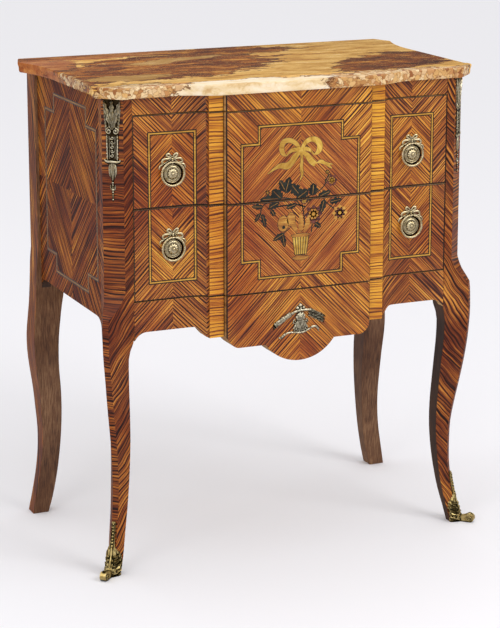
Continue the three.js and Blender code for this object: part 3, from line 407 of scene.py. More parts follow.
def made(name, form, finishes, body, stands_for=(), soft=0.0, smooth=30):
    """Makes a piece from a mesh in metres and puts it on its body."""
    form.normal_update()
    for face in form.faces:
        face.smooth = True
    for edge in form.edges:
        edge.smooth = edge.calc_face_angle(math.pi) < math.radians(smooth)
    mesh = bpy.data.meshes.new(name)
    form.to_mesh(mesh)
    form.free()
    for item in finishes:
        mesh.materials.append(finish(item))
    thing = bpy.data.objects.new(name, mesh)
    bpy.context.scene.collection.objects.link(thing)
    if soft:
        bevel = thing.modifiers.new("softened_edges", "BEVEL")
        bevel.width = soft * MM
        bevel.segments = 2
        bevel.limit_method = "ANGLE"
        bevel.angle_limit = math.radians(40)
        bevel.harden_normals = True
    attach(thing, body)
    if stands_for:
        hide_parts(*stands_for)
    return thing


def copied(name):
    """A CAD node's surface as a mesh of its own, with its flat faces whole."""
    form = bmesh.new()
    form.from_mesh(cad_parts[name].data)
    bmesh.ops.remove_doubles(form, verts=form.verts, dist=1e-6)
    bmesh.ops.dissolve_limit(form, angle_limit=math.radians(0.3), verts=form.verts, edges=form.edges)
    return form


def scored(form, cuts, facing):
    """Cuts the faces that face that way where veneers meet: an axis and a place in millimetres each."""
    for axis, place in cuts:
        faces = [face for face in form.faces if face.normal.dot(facing) > 0.3]
        edges = {edge for face in faces for edge in face.edges}
        points = {point for face in faces for point in face.verts}
        across = Vector([float(i == axis) for i in range(3)])
        bmesh.ops.bisect_plane(form, geom=[*faces, *edges, *points], plane_co=across * place * MM,
                               plane_no=across, dist=1e-6)


def grained(form, rule):
    """Gives each face its finish and its map: rule(middle, normal) gives finish, turn, seam and sheet."""
    layer = form.loops.layers.uv.new("grain")
    for face in form.faces:
        middle, normal = face.calc_center_median() / MM, face.normal
        face.material_index, turn, seam, sheet = rule(middle, normal)
        turn = math.radians(turn)
        level = abs(normal.z) > 0.75
        first = 1 if abs(normal.x) > abs(normal.y) and not level else 0
        for loop in face.loops:
            across = loop.vert.co[first] - seam * MM
            up = loop.vert.co[1 if level else 2]
            loop[layer].uv = (across * math.cos(turn) + up * math.sin(turn) + sheet,
                              up * math.cos(turn) - across * math.sin(turn) + sheet * 0.37)


def plain(middle, normal):
    """A rule for pieces with one finish and an even grain."""
    return 0, 0, 0, 0


def chevron(across, height, inside):
    """The turn of quartered veneer: a peak above the drawers' gap, a trough below, turned about outside."""
    peak = inside != (height < DRAWER_GAP_HEIGHT)
    return (-45 if across > 0 else 45) * (1 if peak else -1)


# Inlaid lines on the front, as corners from the middle outwards, in millimetres
CENTRE_LINE = [(77.5, 769.5), (77.5, 739.5), (109, 739.5), (109, 538.5), (77.5, 538.5), (77.5, 508.5)]
CENTRE_LINE += [(-x, z) for x, z in reversed(CENTRE_LINE)]
SIDE_HALF, SIDE_HIGH, SIDE_LOW = 40.5, 766, 513
COVE_LINE = [(COVE_END - (COVE_END - PILASTER_END) * math.cos(math.pi * i / 16),
              FRONT + (PILASTER_FACE - FRONT) * (1 - math.sin(math.pi * i / 16))) for i in range(9)]
SIDE_NEAR, SIDE_FAR = PULL_OUT - SIDE_HALF, PULL_OUT + SIDE_HALF
SIDE_SPOTS = [SIDE_NEAR, *[x for x, y in COVE_LINE if x > SIDE_NEAR], SIDE_FAR]
SIDE_LINE = [(x, SIDE_HIGH) for x in SIDE_SPOTS] + [(x, SIDE_LOW) for x in reversed(SIDE_SPOTS)]
PANEL_LINE = [(84, 799), (84, 768), (133, 768), (133, 512), (84, 512), (84, 481)]
PANEL_LINE += [(-y, z) for y, z in reversed(PANEL_LINE)]
PANEL_MIDDLE = FRONT + 190


def in_steps(across, height, line):
    """Whether a place is inside a stepped frame."""
    inner, outer = line[0][0], line[2][0]
    return (abs(across) < inner and line[5][1] < height < line[0][1]) or (
        abs(across) < outer and line[3][1] < height < line[1][1])


def front_rule(middle, normal):
    """Veneer of the front: quartered sections, level grain on the pilasters, and near black painted shade in
    the quirks, on the centre's side steps and round the drawers' edges, standing for the shadow in the gaps.
    """
    x, y, z = middle
    out = abs(x)
    if normal.y > -0.2:
        return 3, 0, 0, 0
    drawer = next((level for level in LEVELS.values() if level[0] - 0.5 < z < level[1] + 0.5), None)
    # Painted shade: bands round the drawers' edges, the quirks and the centre's sideways steps go near black,
    # for the shadow in the gaps
    edged = drawer and (z < drawer[0] + EDGE or z > drawer[1] - EDGE or out > DRAWER_HALF - EDGE)
    in_quirk = CENTRE_HALF - 0.2 < out < QUIRK_END + 0.2
    on_step = CENTRE_HALF - 7 < out < CENTRE_HALF + 1 and abs(normal.x) > 0.6
    if edged or in_quirk or on_step:
        return 2, 0, 0, 0
    if QUIRK_END < out < PILASTER_END + 0.3:
        return 1, 0, 0, math.copysign(0.4, x) + round(z / 158) * 0.7
    seam = 0 if out < CENTRE_HALF else math.copysign(PULL_OUT, x)
    across = x - seam
    inside = in_steps(x, z, CENTRE_LINE) if seam == 0 else (
        abs(across) < SIDE_HALF and SIDE_LOW < z < SIDE_HIGH)
    if z > DRAWERS_TOP:
        turn = 45 if across > 0 else -45
    elif z < DRAWERS_BOTTOM:
        turn = -45 if across > 0 else 45
    else:
        turn = chevron(across, z, inside)
    drawn = DRAWERS_BOTTOM < z < DRAWERS_TOP
    number = 4 if inside and seam == 0 and drawn else 5 if seam and not (inside and drawn) else 0
    return number, turn, seam, (1.3 if inside else 0) + (2.1 if z < DRAWERS_BOTTOM else 0) + seam * 0.003


class COMMODE_OT_front(bpy.types.Operator):
    """Veneered frieze, drawer fronts and apron"""

    bl_idname = "commode.front"
    bl_label = "Front"

    def execute(self, context):
        seams = [(0, 0.0), (0, PULL_OUT), (0, -PULL_OUT)]
        frames = [(0, side * out) for side in (-1, 1)
                  for out in (CENTRE_LINE[0][0], CENTRE_LINE[2][0], SIDE_NEAR, SIDE_FAR)]
        frames += [(2, CENTRE_LINE[i][1]) for i in (0, 1, 3, 5)]
        frames += [(2, SIDE_HIGH), (2, SIDE_LOW)]
        woods = ["tulipwood_veneer", "pilaster_veneer", "ebonised_line_and_gap_shade", "planed_oak",
                 "fine_tulipwood_veneer", "deep_tulipwood_veneer"]
        for name, body, cuts in (
            ("frieze_rail", "carcass", seams),
            ("front_apron", "carcass", seams),
            ("upper_drawer_front", "upper_drawer", seams + frames),
            ("lower_drawer_front", "lower_drawer", seams + frames),
        ):
            form = copied(name)
            if body != "carcass":
                low, high = LEVELS[body[:5]]
                cuts = cuts + [(2, low + EDGE), (2, high - EDGE), (0, DRAWER_HALF - EDGE),
                               (0, EDGE - DRAWER_HALF)]
            scored(form, cuts, Vector((0, -1, 0)))
            grained(form, front_rule)
            made(name + "_veneered", form, woods, body, [name], 0.5, 35)
        return {"FINISHED"}


# Inlay: thin sheets on a face, from outlines in millimetres

def on_front(face):
    """Places (across, up) on a front face, standing proud by a third number."""
    return lambda across, up, proud: Vector((across, face - proud, up)) * MM


def on_recess(across, up, proud):
    """Places (across, up, proud) on the side sections, cove and flat."""
    out, face = abs(across), FRONT
    for (low, first), (high, last) in zip(COVE_LINE, COVE_LINE[1:]):
        if low <= out <= high:
            face = first + (last - first) * (out - low) / (high - low)
    return Vector((across, face - proud, up)) * MM


def on_side(way):
    """Places (across, up, proud) on the side panel of one side."""
    return lambda across, up, proud: Vector((way * (SIDE_FACE + proud), PANEL_MIDDLE + across, up)) * MM


def strip(line, wide, closed=True, shift=0.0):
    """A band along a line, as one four-sided outline for each stretch, with mitred corners.

    wide is the band's width, or a list of half widths, one for each point; shift sets it off to one side.
    """
    def way(a, b):
        return (Vector(b) - Vector(a)).normalized()

    count = len(line)
    rails = []
    for i, point in enumerate(line):
        before = way(line[i - 1], point) if closed or i else way(point, line[i + 1])
        after = way(point, line[(i + 1) % count]) if closed or i < count - 1 else before
        off = Vector((-before.y - after.y, before.x + after.x)) / (1 + before.dot(after))
        half = wide[i] if isinstance(wide, list) else wide / 2
        rails.append((Vector(point) + off * (shift + half), Vector(point) + off * (shift - half)))
    last = count if closed else count - 1
    return [[rails[i][0], rails[(i + 1) % count][0], rails[(i + 1) % count][1], rails[i][1]]
            for i in range(last)]


def smoothed(line, rounds=2):
    """Rounds the corners of a line of number lists by cutting each of them, rounds times over."""
    line = [tuple(point) for point in line]
    for _ in range(rounds):
        cut = [line[0]]
        for a, b in zip(line, line[1:]):
            cut.append(tuple(0.75 * p + 0.25 * q for p, q in zip(a, b)))
            cut.append(tuple(0.25 * p + 0.75 * q for p, q in zip(a, b)))
        line = [*cut, line[-1]]
    return line


def sheets(form, outlines, place, low, thick, number=0, turn=0):
    """Adds a thin closed solid for each outline, between two distances from the face."""
    layer = form.loops.layers.uv.verify()
    for outline in outlines:
        rings = [[form.verts.new(place(a, b, proud)) for a, b in outline] for proud in (low, low + thick)]
        sides = list(zip(rings[0], rings[1], rings[1][1:] + rings[1][:1], rings[0][1:] + rings[0][:1]))
        faces = [form.faces.new(ring) for ring in rings] + [form.faces.new(side) for side in sides]
        turned = Matrix.Rotation(math.radians(turn), 2)
        spots = {v: turned @ Vector(p) * MM for ring in rings for v, p in zip(ring, outline)}
        for face in faces:
            face.material_index = number
            for loop in face.loops:
                loop[layer].uv = spots[loop.vert]
        bmesh.ops.recalc_face_normals(form, faces=faces)


def cut_off(part, place, way):
    """Cuts off what lies past a plane, and closes the cut."""
    found = bmesh.ops.bisect_plane(part, geom=[*part.verts, *part.edges, *part.faces], dist=1e-7,
                                   plane_co=place, plane_no=way, clear_outer=True)
    rim = [item for item in found["geom_cut"] if isinstance(item, bmesh.types.BMEdge) and item.is_boundary]
    bmesh.ops.holes_fill(part, edges=rim)


def clipped(form, low, high):
    """The part of a mesh between two heights, with its ends closed."""
    part = form.copy()
    for place, way in ((low, -1), (high, 1)):
        cut_off(part, (0, 0, place * MM), (0, 0, way))
    return part


def lines(form, line, place, wide, light):
    """A pale line between two dark ones."""
    dark = (wide - light) / 2
    sheets(form, strip(line, light), place, 0.02, 0.13, 0)
    for way in (-1, 1):
        sheets(form, strip(line, dark, True, way * (light + dark) / 2), place, 0.02, 0.11, 1)


class COMMODE_OT_stringing(bpy.types.Operator):
    """Boxwood lines between ebonised ones, round the front and side panels"""

    bl_idname = "commode.stringing"
    bl_label = "Stringing"

    def execute(self, context):
        settings = context.scene.commode_inlay
        wide, light = settings.line_width / MM, settings.light_width / MM
        front = bmesh.new()
        for line, way, place in ((CENTRE_LINE, 1, on_front(CENTRE_FACE)), (SIDE_LINE, 1, on_recess),
                                 (SIDE_LINE, -1, on_recess)):
            line = [(x * way, z) for x, z in line]
            lines(front, line, place, wide, light)
        for name, (low, high) in LEVELS.items():
            form = clipped(front, low + EDGE, high - EDGE)
            made(f"{name}_drawer_stringing", form, ["boxwood_line", "ebonised_line_and_gap_shade"], f"{name}_drawer")
        front.free()
        for name, way in SIDES:
            form = bmesh.new()
            lines(form, PANEL_LINE, on_side(way), wide, light)
            made(f"side_stringing_{name}", form, ["side_boxwood_line", "ebonised_line_and_gap_shade"], "carcass")
        return {"FINISHED"}


def leaf_outline(base, tip, wide, lobes=3, bend=0.0):
    """A toothed leaf between two points."""
    base, tip = Vector(base), Vector(tip)
    run = tip - base
    off = Vector((-run.y, run.x)).normalized()
    steps = lobes * 6
    rails = ([], [])
    for i in range(1, steps):
        t = i / steps
        tooth = 0.62 + 0.38 * abs(math.sin(math.pi * lobes * t)) if lobes > 1 else 1.0
        half = wide / 2 * math.sin(math.pi * t ** 0.85) ** 0.8 * tooth
        middle = base + run * t + off * bend * math.sin(math.pi * t)
        rails[0].append(middle + off * half)
        rails[1].append(middle - off * half)
    return [base, *rails[0], tip, *reversed(rails[1])]


def disc(middle, wide, tall=None):
    """The outline of a disc or an oval."""
    tall = wide if tall is None else tall
    turns = [2 * math.pi * i / 24 for i in range(24)]
    return [(middle[0] + wide / 2 * math.cos(turn), middle[1] + tall / 2 * math.sin(turn)) for turn in turns]


def flower(middle, size, petals, turn=0.0):
    """The outlines of a ring of petals."""
    shapes = []
    for i in range(petals):
        way = turn + 2 * math.pi * i / petals
        tip = (middle[0] + size / 2 * math.cos(way), middle[1] + size / 2 * math.sin(way))
        shapes.append(leaf_outline(middle, tip, size * math.sin(math.pi / petals) * 0.9, 1))
    return shapes


# The inlaid picture on the middle of the front, in millimetres
# Ribbons as (across, up) lines with a half width at each point
RIBBONS = (
    ([(-1, 724), (-9, 737), (-22, 744), (-34, 741), (-37, 730), (-34, 720), (-27, 716)],
     [3, 5, 5, 6, 6, 5, 1]),
    ([(-27, 716), (-23, 722), (-14, 727), (-1, 724)], [1, 3, 5, 3]),
    ([(0, 724), (7, 737), (18, 743), (30, 740), (36, 730), (33, 719), (24, 715)], [3, 5, 5, 7, 7, 6, 1]),
    ([(24, 715), (18, 723), (9, 727), (0, 724)], [1, 3, 5, 3]),
    ([(-1, 722), (-11, 715), (-17, 705), (-26, 698), (-37, 701), (-48, 697), (-62, 688)],
     [3, 7, 7, 8, 6, 3, 1]),
    ([(1, 722), (11, 716), (19, 704), (27, 698)], [3, 6, 7, 6]),
    ([(29, 700), (37, 703), (46, 698), (59, 696)], [1, 5, 3, 1]),
    ([(44, 699), (52, 694), (58, 689)], [2, 3, 1]),
    ([(0, 722), (2, 707), (0, 693), (3, 682), (-2, 673)], [4, 3, 4, 3, 1]),
)
KNOT = (0, 723)
# Twigs as lines with a width, and leaves as base, tip, width and teeth
TWIGS = (
    ([(0, 640), (-4, 655), (-8, 664)], 1.6), ([(4, 640), (26, 648), (38, 653), (50, 668)], 2.0),
    ([(-60, 642), (-36, 646), (-10, 640), (0, 628)], 2.2),
    ([(-72, 612), (-76, 624), (-70, 636), (-56, 641)], 1.8),
    ([(-62, 628), (-38, 631), (-8, 632), (8, 626)], 2.6), ([(8, 590), (6, 612), (2, 632)], 2.0),
    ([(20, 580), (22, 600), (14, 622)], 1.8), ([(40, 642), (48, 630), (58, 622), (70, 614)], 1.8),
    ([(-44, 579), (-30, 584), (-20, 592)], 1.6),
)
LEAVES = (
    ((-29, 652), (-21, 680), 17, 3), ((-29, 656), (-40, 676), 13, 3), ((-3, 648), (-19, 668), 17, 3),
    ((-36, 643), (-54, 660), 19, 3), ((-38, 644), (-77, 645), 14, 4), ((-8, 641), (14, 655), 20, 3),
    ((22, 644), (24, 666), 17, 3), ((32, 641), (57, 650), 11, 3), ((46, 664), (56, 680), 7, 2),
    ((-60, 629), (-40, 638), 12, 3), ((-70, 632), (-92, 634), 9, 3), ((-72, 620), (-66, 596), 9, 3),
    ((-76, 622), (-86, 606), 7, 2), ((-30, 583), (-52, 572), 10, 3), ((-34, 582), (-30, 558), 9, 3),
    ((-8, 632), (-28, 626), 9, 3), ((44, 636), (38, 612), 11, 3), ((26, 596), (38, 588), 10, 2),
    ((2, 636), (20, 640), 9, 3), ((54, 630), (78, 634), 10, 3), ((-56, 626), (-48, 614), 8, 2),
)
# Flowers as middle, size, petals and wood, and fruit as middle, width and height
FLOWERS = (
    ((58, 668), 22, 7, 3), ((50, 683), 9, 5, 1), ((24, 612), 34, 8, 3), ((74, 610), 30, 8, 2),
    ((-62, 656), 9, 5, 1), ((6, 636), 14, 6, 3),
)
FRUIT = (((-33, 600), 20, 27), ((-18, 606), 16, 24))
FRUIT_EYE = (-32, 593.5)
VASE_TOP, VASE_LOW, VASE_WIDE, VASE_NARROW = 575, 543, 31, 22
VASE_BODY = [(-16, VASE_TOP), (16, VASE_TOP), (11.5, VASE_LOW), (-11.5, VASE_LOW)]
VASE_RINGS = (((0, 577), 37, 6), ((0, 538), 31, 8))
VASE_LEAVES = (((-15, 614), 9, 3), ((14, 612), 9, -3), ((0, 618), 10, 0))       # tip, width and bend
FLUTES, FLUTE_START, FLUTE_END = 6, 0.1, 0.82
OUTLINE = 1.6       # a fruit's or ring's dark ground is this much wider
INLAY_LOW = 0.02    # every inlay starts this far above the veneer


class COMMODE_OT_marquetry(bpy.types.Operator):
    """Inlaid ribbon bow, flowers, leaves, fruit and a fluted vase"""

    bl_idname = "commode.marquetry"
    bl_label = "Marquetry"

    def execute(self, context):
        form = bmesh.new()
        place = on_front(CENTRE_FACE)
        woods = ["satinwood_inlay", "dyed_leaf_inlay", "shaded_petal_inlay", "rosewood_inlay", "boxwood_line"]
        for number, (line, halves) in enumerate(RIBBONS):
            points = smoothed([(a, b, half * 0.78) for (a, b), half in zip(line, halves)])
            spine, halves = [point[:2] for point in points], [point[2] for point in points]
            thick = 0.03 + number * 0.002
            sheets(form, strip(spine, [half + 0.8 for half in halves], False), place, INLAY_LOW, thick, 3)
            sheets(form, strip(spine, halves, False), place, 0.05, thick, 0, 30 * number)
        sheets(form, [disc(KNOT, 8, 10)], place, 0.05, 0.06, 0)
        for line, wide in TWIGS:
            sheets(form, strip(smoothed(line), wide, False), place, INLAY_LOW, 0.04, 1)
        for number, (base, tip, wide, lobes) in enumerate(LEAVES):
            blade = leaf_outline(base, tip, wide * 1.25, lobes)
            sheets(form, [blade], place, INLAY_LOW, 0.05 + number * 0.001, 1, 17 * number)
            vein = [Vector(base).lerp(Vector(tip), share) for share in (0.12, 0.85)]
            sheets(form, strip(vein, 0.7, False), place, 0.06, 0.04, 2)
        for middle, size, petals, number in FLOWERS:
            sheets(form, flower(middle, size, petals), place, INLAY_LOW, 0.075, number)
            inner = flower(middle, size * 0.62, petals, 0.4)
            sheets(form, inner, place, 0.08, 0.03, 3 if number == 2 else 2)
            sheets(form, [disc(middle, size * 0.2)], place, 0.09, 0.03, 4)
        for middle, wide, tall in FRUIT:
            sheets(form, [disc(middle, wide + OUTLINE, tall + OUTLINE)], place, INLAY_LOW, 0.06, 1)
            sheets(form, [disc(middle, wide, tall)], place, 0.07, 0.025, 2)
        sheets(form, [disc(FRUIT_EYE, 6)], place, 0.09, 0.02, 1)
        vase(form, place)
        for level, (low, high) in LEVELS.items():
            part = clipped(form, low + EDGE, high - EDGE)
            made(f"{level}_drawer_marquetry", part, woods, f"{level}_drawer")
        form.free()
        return {"FINISHED"}


def vase(form, place):
    """A fluted vase: dark body with pale flutes, rim, foot and leaves."""
    sheets(form, [VASE_BODY], place, INLAY_LOW, 0.07, 1)
    for i in range(FLUTES):
        shares = [(i + part) / FLUTES - 0.5 for part in (FLUTE_START, FLUTE_END)]
        high = [(VASE_WIDE * share, VASE_TOP - 1) for share in shares]
        low = [(VASE_NARROW * share, VASE_LOW + 1) for share in reversed(shares)]
        sheets(form, [high + low], place, 0.09, 0.02, 0)
    for middle, wide, tall in VASE_RINGS:
        sheets(form, [disc(middle, wide + OUTLINE, tall + OUTLINE)], place, INLAY_LOW, 0.08, 1)
        sheets(form, [disc(middle, wide, tall)], place, 0.1, 0.02, 2)
    for tip, wide, bend in VASE_LEAVES:
        sheets(form, [leaf_outline((tip[0] * 0.4, 581), tip, wide, 1, bend)], place, INLAY_LOW, 0.085, 2)


def side_rule(middle, normal):
    """Quartered veneer on the outer face of a side panel, bare wood elsewhere."""
    x, y, z = middle
    if abs(normal.x) < 0.3 or x * normal.x < 0:
        return 1, 90, 0, 0
    across = y - PANEL_MIDDLE
    inside = in_steps(across, z, PANEL_LINE)
    return 0, chevron(across, z, inside), PANEL_MIDDLE, (1.7 if inside else 0.4) + x * 0.01


def front_leg_rule(middle, normal):
    """Veneer on the two outer faces and the cant, bare wood on the inner ones."""
    side = math.copysign(1, middle.x)
    outward = side * normal.x
    if outward < -0.45 or normal.y > 0.35 and outward < 0.55:
        return 1, 90, 0, 0
    if normal.y < -0.45 and outward > 0.45:
        return 0, 0, 0, 0.9
    if normal.y < -0.45:
        return 0, -52 * side, 0, 0.3
    return 0, 60, 0, 1.9


def back_leg_rule(middle, normal):
    """Veneer on the outer face of a back leg, bare wood elsewhere."""
    outward = math.copysign(1, middle.x) * normal.x
    return (0, 80, 0, 2.3) if outward > 0.5 else (1, 88, 0, 0)


class COMMODE_OT_sides(bpy.types.Operator):
    """Veneered side panels and the four legs with their posts"""

    bl_idname = "commode.sides"
    bl_label = "Sides and legs"

    def execute(self, context):
        cuts = [(1, PANEL_MIDDLE)]
        cuts += [(1, PANEL_MIDDLE + way * PANEL_LINE[i][0]) for way in (-1, 1) for i in (0, 2)]
        cuts += [(2, DRAWER_GAP_HEIGHT)] + [(2, PANEL_LINE[i][1]) for i in (0, 1, 3, 5)]
        for name, way in SIDES:
            form = copied(f"side_panel_{name}")
            scored(form, cuts, Vector((way, 0, 0)))
            grained(form, side_rule)
            made(f"side_panel_{name}_veneered", form, ["side_tulipwood", "stained_beech"], "carcass",
                 [f"side_panel_{name}"], 0.4, 35)
            # The back legs' bare faces take a paler beech: painted light
            for end, rule, bare in (("front", front_leg_rule, "stained_beech"),
                                    ("back", back_leg_rule, "lit_stained_back_leg")):
                form = copied(f"leg_{end}_{name}")
                grained(form, rule)
                made(f"leg_{end}_{name}_veneered", form, ["leg_tulipwood", bare], "carcass",
                     [f"leg_{end}_{name}"], 0.8, 28)
        return {"FINISHED"}


class COMMODE_OT_carcass(bpy.types.Operator):
    """Drawer boxes, rails, runners and boards, with planed surfaces and softened edges"""

    bl_idname = "commode.carcass"
    bl_label = "Carcass and drawers"

    def execute(self, context):
        pieces = [("back_rail", 0, "carcass"), ("back_panel", 0, "carcass"), ("sub_top", 0, "carcass"),
                  ("kicker_right", 0, "carcass"), ("kicker_left", 0, "carcass")]
        for level in LEVELS:
            pieces += [(f"{level}_{part}", 0, "carcass")
                       for part in ("rail", "runner_right", "runner_left", "dust_board")]
            pieces += [(f"{level}_drawer_{part}", turn, f"{level}_drawer") for part, turn in (
                ("side_right", 0), ("side_left", 0), ("back", 0), ("bottom", 90))]
        for number, (name, turn, body) in enumerate(pieces):
            drawer = body != "carcass"
            form = copied(name)
            grained(form, lambda middle, normal: (0, turn, 0, number * 0.61))
            made(name + "_planed", form, ["planed_oak" if drawer else "planed_poplar"], body,
                 [name], 0.4, 35)
        return {"FINISHED"}


class COMMODE_OT_marble(bpy.types.Operator):
    """Marble slab with its moulded edge"""

    bl_idname = "commode.marble"
    bl_label = "Marble top"

    def execute(self, context):
        form = copied("marble_top")
        grained(form, plain)
        made("marble_slab", form, ["breccia_marble"], "carcass", ["marble_top"], 0.7, 30)
        return {"FINISHED"}


def spread(form, rings):
    """Skins rings of points, each with the same count, into a solid."""
    rows = [[form.verts.new(point) for point in ring] for ring in rings]
    count = len(rows[0])
    faces = []
    for low, high in zip(rows, rows[1:]):
        for i in range(count):
            j = (i + 1) % count
            faces.append(form.faces.new((low[i], low[j], high[j], high[i])))
    faces += [form.faces.new(rows[0]), form.faces.new(rows[-1])]
    bmesh.ops.recalc_face_normals(form, faces=faces)


def cord(form, place, line, sides=10, flat=0.8, rounds=2):
    """A rounded band along a line of (across, up, proud, radius) on a surface."""
    line = smoothed(line, rounds)
    rings = []
    for i, (a, b, h, r) in enumerate(line):
        before, after = line[max(i - 1, 0)], line[min(i + 1, len(line) - 1)]
        run = Vector((after[0] - before[0], after[1] - before[1]))
        run = run.normalized() if run.length > 1e-9 else Vector((1, 0))
        ring = []
        for k in range(sides):
            turn = 2 * math.pi * k / sides
            off = r * math.cos(turn)
            ring.append(place(a - run.y * off, b + run.x * off, h + r * flat * math.sin(turn)))
        rings.append(ring)
    spread(form, rings)


LEAF_SWEEP = 0.35       # how far a leaf's edges lie behind its midrib, as a share of its half width
# Places across a leaf and the relief there, as shares
LEAF_SECTION = ((-1.0, 0.2), (-0.8, 0.62), (-0.6, 0.5), (-0.42, 0.95), (-0.25, 0.7), (-0.1, 1.0),
                (0.0, 0.72), (0.1, 1.0), (0.25, 0.7), (0.42, 0.95), (0.6, 0.5), (0.8, 0.62), (1.0, 0.2))


def leaf(form, place, spine, crown, lobes=4, depth=0.22, low=0.1):
    """A leaf along (across, up, half width, lift) points: lobed edges, veins and a sunk midrib."""
    spine = smoothed(spine)
    rings = []
    last = len(spine) - 1
    for i, (a, b, half, lift) in enumerate(spine):
        before, after = spine[max(i - 1, 0)], spine[min(i + 1, last)]
        run = Vector((after[0] - before[0], after[1] - before[1])).normalized()
        wave = math.cos(2 * math.pi * lobes * i / last)
        wide = half * (1 - depth * (0.5 + 0.5 * wave))
        top = crown * min(1.0, 0.25 + half / 6)
        section = [(share, lift + top * height * (1 - 0.25 * (0.5 + 0.5 * wave) * (abs(share) > 0.3)))
                   for share, height in LEAF_SECTION]
        ring = []
        for share, tall in (*section, (1.0, min(low, lift)), (-1.0, min(low, lift))):
            back = abs(share) * half * LEAF_SWEEP
            across = a - run.y * share * wide - run.x * back
            ring.append(place(across, b + run.x * share * wide - run.y * back, tall))
        rings.append(ring)
    spread(form, rings)


def boss(form, place, middle, profile, sides=32, petals=0, depth=0.0):
    """A turned boss from (radius, proud) points, from its crown out, with petals cut into it."""
    rings = []
    for out, high in profile:
        ring = []
        for k in range(sides):
            turn = 2 * math.pi * k / sides
            cut = depth * abs(math.sin(petals * turn / 2)) if petals else 0
            reach = out * (1 - depth + cut) if petals else out
            ring.append(place(middle[0] + reach * math.cos(turn), middle[1] + reach * math.sin(turn), high))
        rings.append(ring)
    spread(form, rings)


def bead(form, place, middle, radius, low=0.0, flat=0.8, sides=12):
    """A half ball that stands on a surface."""
    steps = [math.pi / 2 * i / 4 for i in range(5)]
    profile = [(max(radius * math.sin(t), 0.04), low + radius * flat * math.cos(t)) for t in steps]
    boss(form, place, middle, [*profile, (radius * 0.98, low - 0.2 if low > 0.2 else low)], sides)


def scroll(form, place, middle, size, way, turns=1.4, thick=1.0, low=0.6, start=0.0):
    """A volute winding inwards to an eye."""
    line = []
    count = 26
    for i in range(count + 1):
        share = i / count
        turn = start + way * 2 * math.pi * turns * share
        out = size * (1 - 0.82 * share)
        line.append((middle[0] + out * math.cos(turn), middle[1] + out * math.sin(turn), low + share * thick,
                     thick * (1 - 0.35 * share)))
    cord(form, place, line, 8, 0.9, 0)
    bead(form, place, middle, size * 0.24, low)


# Ring pulls, in millimetres: profiles as (radius, proud), bands as (across, up, proud, radius)
# The back plate: nearly black, as painted shadow in the gap between the ring and the rosette
SHADOWED_BACKPLATE = ((0.3, 0.9), (18.8, 0.9), (19.4, 0.5), (19.4, 0.1))
PLATE_BOSSES = (        # knob, petals and rim: profile, sides, petals and their depth
    (((0.3, 8.1), (1.6, 7.9), (2.6, 7.1), (3.1, 6.1), (3.3, 5.4)), 24, 0, 0.0),
    (((2.6, 5.9), (5.4, 6.1), (7.6, 5.4), (9.3, 3.9), (9.8, 2.4)), 72, 12, 0.16),
    (((8.6, 3.2), (10.4, 2.9), (11.2, 3.4), (12.2, 3.4), (12.9, 2.6), (13.6, 2.4), (14.8, 2.9), (15.8, 2.2),
      (16.1, 0.25)), 64, 0, 0.0),
)
PLATE_BEADS, PLATE_BEADS_OUT, PLATE_BEAD = 28, 13.9, 0.95
BOW_LINES = (
    ((0, 25, 1.6, 1.1), (3.5, 26.5, 1.9, 1.5), (9.5, 29.5, 2.0, 1.7), (9.5, 34, 1.8, 1.5),
     (5, 33.5, 1.7, 1.3), (1, 28, 1.6, 1.1), (0, 25, 1.5, 1.0)),
    ((0, 25, 1.6, 1.2), (7, 25.2, 1.8, 1.6), (15, 25.6, 1.8, 1.8), (19, 20.5, 1.6, 1.5),
     (14.5, 16.5, 1.5, 1.3), (9, 20, 1.5, 1.2), (0, 25, 1.5, 1.0)),
    ((12, 19, 1.3, 1.2), (17, 15.5, 1.5, 1.5), (21.2, 14.5, 1.5, 1.6), (23.0, 11, 1.3, 1.3),
     (23.4, 8.0, 1.0, 0.6)),
)
BOW_SWELL = 1.15        # the bow's bands are this much thicker than their table
BOW_KNOT = (0, 25)
EYE_STRAP = ((0, 15, 1.4, 1.5), (0, 20, 3.6, 1.7), (0, 25, 2.2, 1.5))
RING_RADIUS, RING_PROUD, RING_THICK, RING_TWIST = 20, 5.4, 1.95, 0.32
RING_STEPS, RING_OPENING = 128, 0.2     # the opening is in radians, on each side of the pin
PIN_UP = 19.6
PIN = ((-5, 1.0), (-4.6, 1.5), (-4, 1.1), (4, 1.1), (4.6, 1.5), (5, 1.0))        # (across, radius)
ROUND = [2 * math.pi * k / 14 for k in range(14)]


def mirrored(side, line):
    """A line of points that start with their place across, on one side."""
    return [(side * across, *rest) for across, *rest in line]


class COMMODE_OT_pulls(bpy.types.Operator):
    """Ring pulls: domed rosette, ribbon bow with tails, swinging ring and screw"""

    bl_idname = "commode.pulls"
    bl_label = "Ring pulls"

    def execute(self, context):
        for level, height in PULL_HEIGHTS.items():
            for name, way in (("left", -1), ("right", 1)):
                pull = f"{level}_pull_{name}"

                def place(a, b, h, x=way * PULL_OUT, z=height):
                    return Vector((x + a, FRONT - h, z + b)) * MM

                made(pull + "_cast_plate", pull_plate(place), ["gilt_bronze", "punched_ground_and_shadow_bronze"],
                     f"{level}_drawer", [pull + "_plate"], 0, 50)
                made(pull + "_cast_ring", pull_ring(place), ["gilt_bronze"],
                     f"{level}_{name}_ring", [pull + "_ring"], 0, 50)
                form = copied(pull + "_screw")
                grained(form, plain)
                made(pull + "_steel_screw", form, ["blued_steel"],
                     f"{level}_drawer", [pull + "_screw"], 0.15, 35)
        return {"FINISHED"}


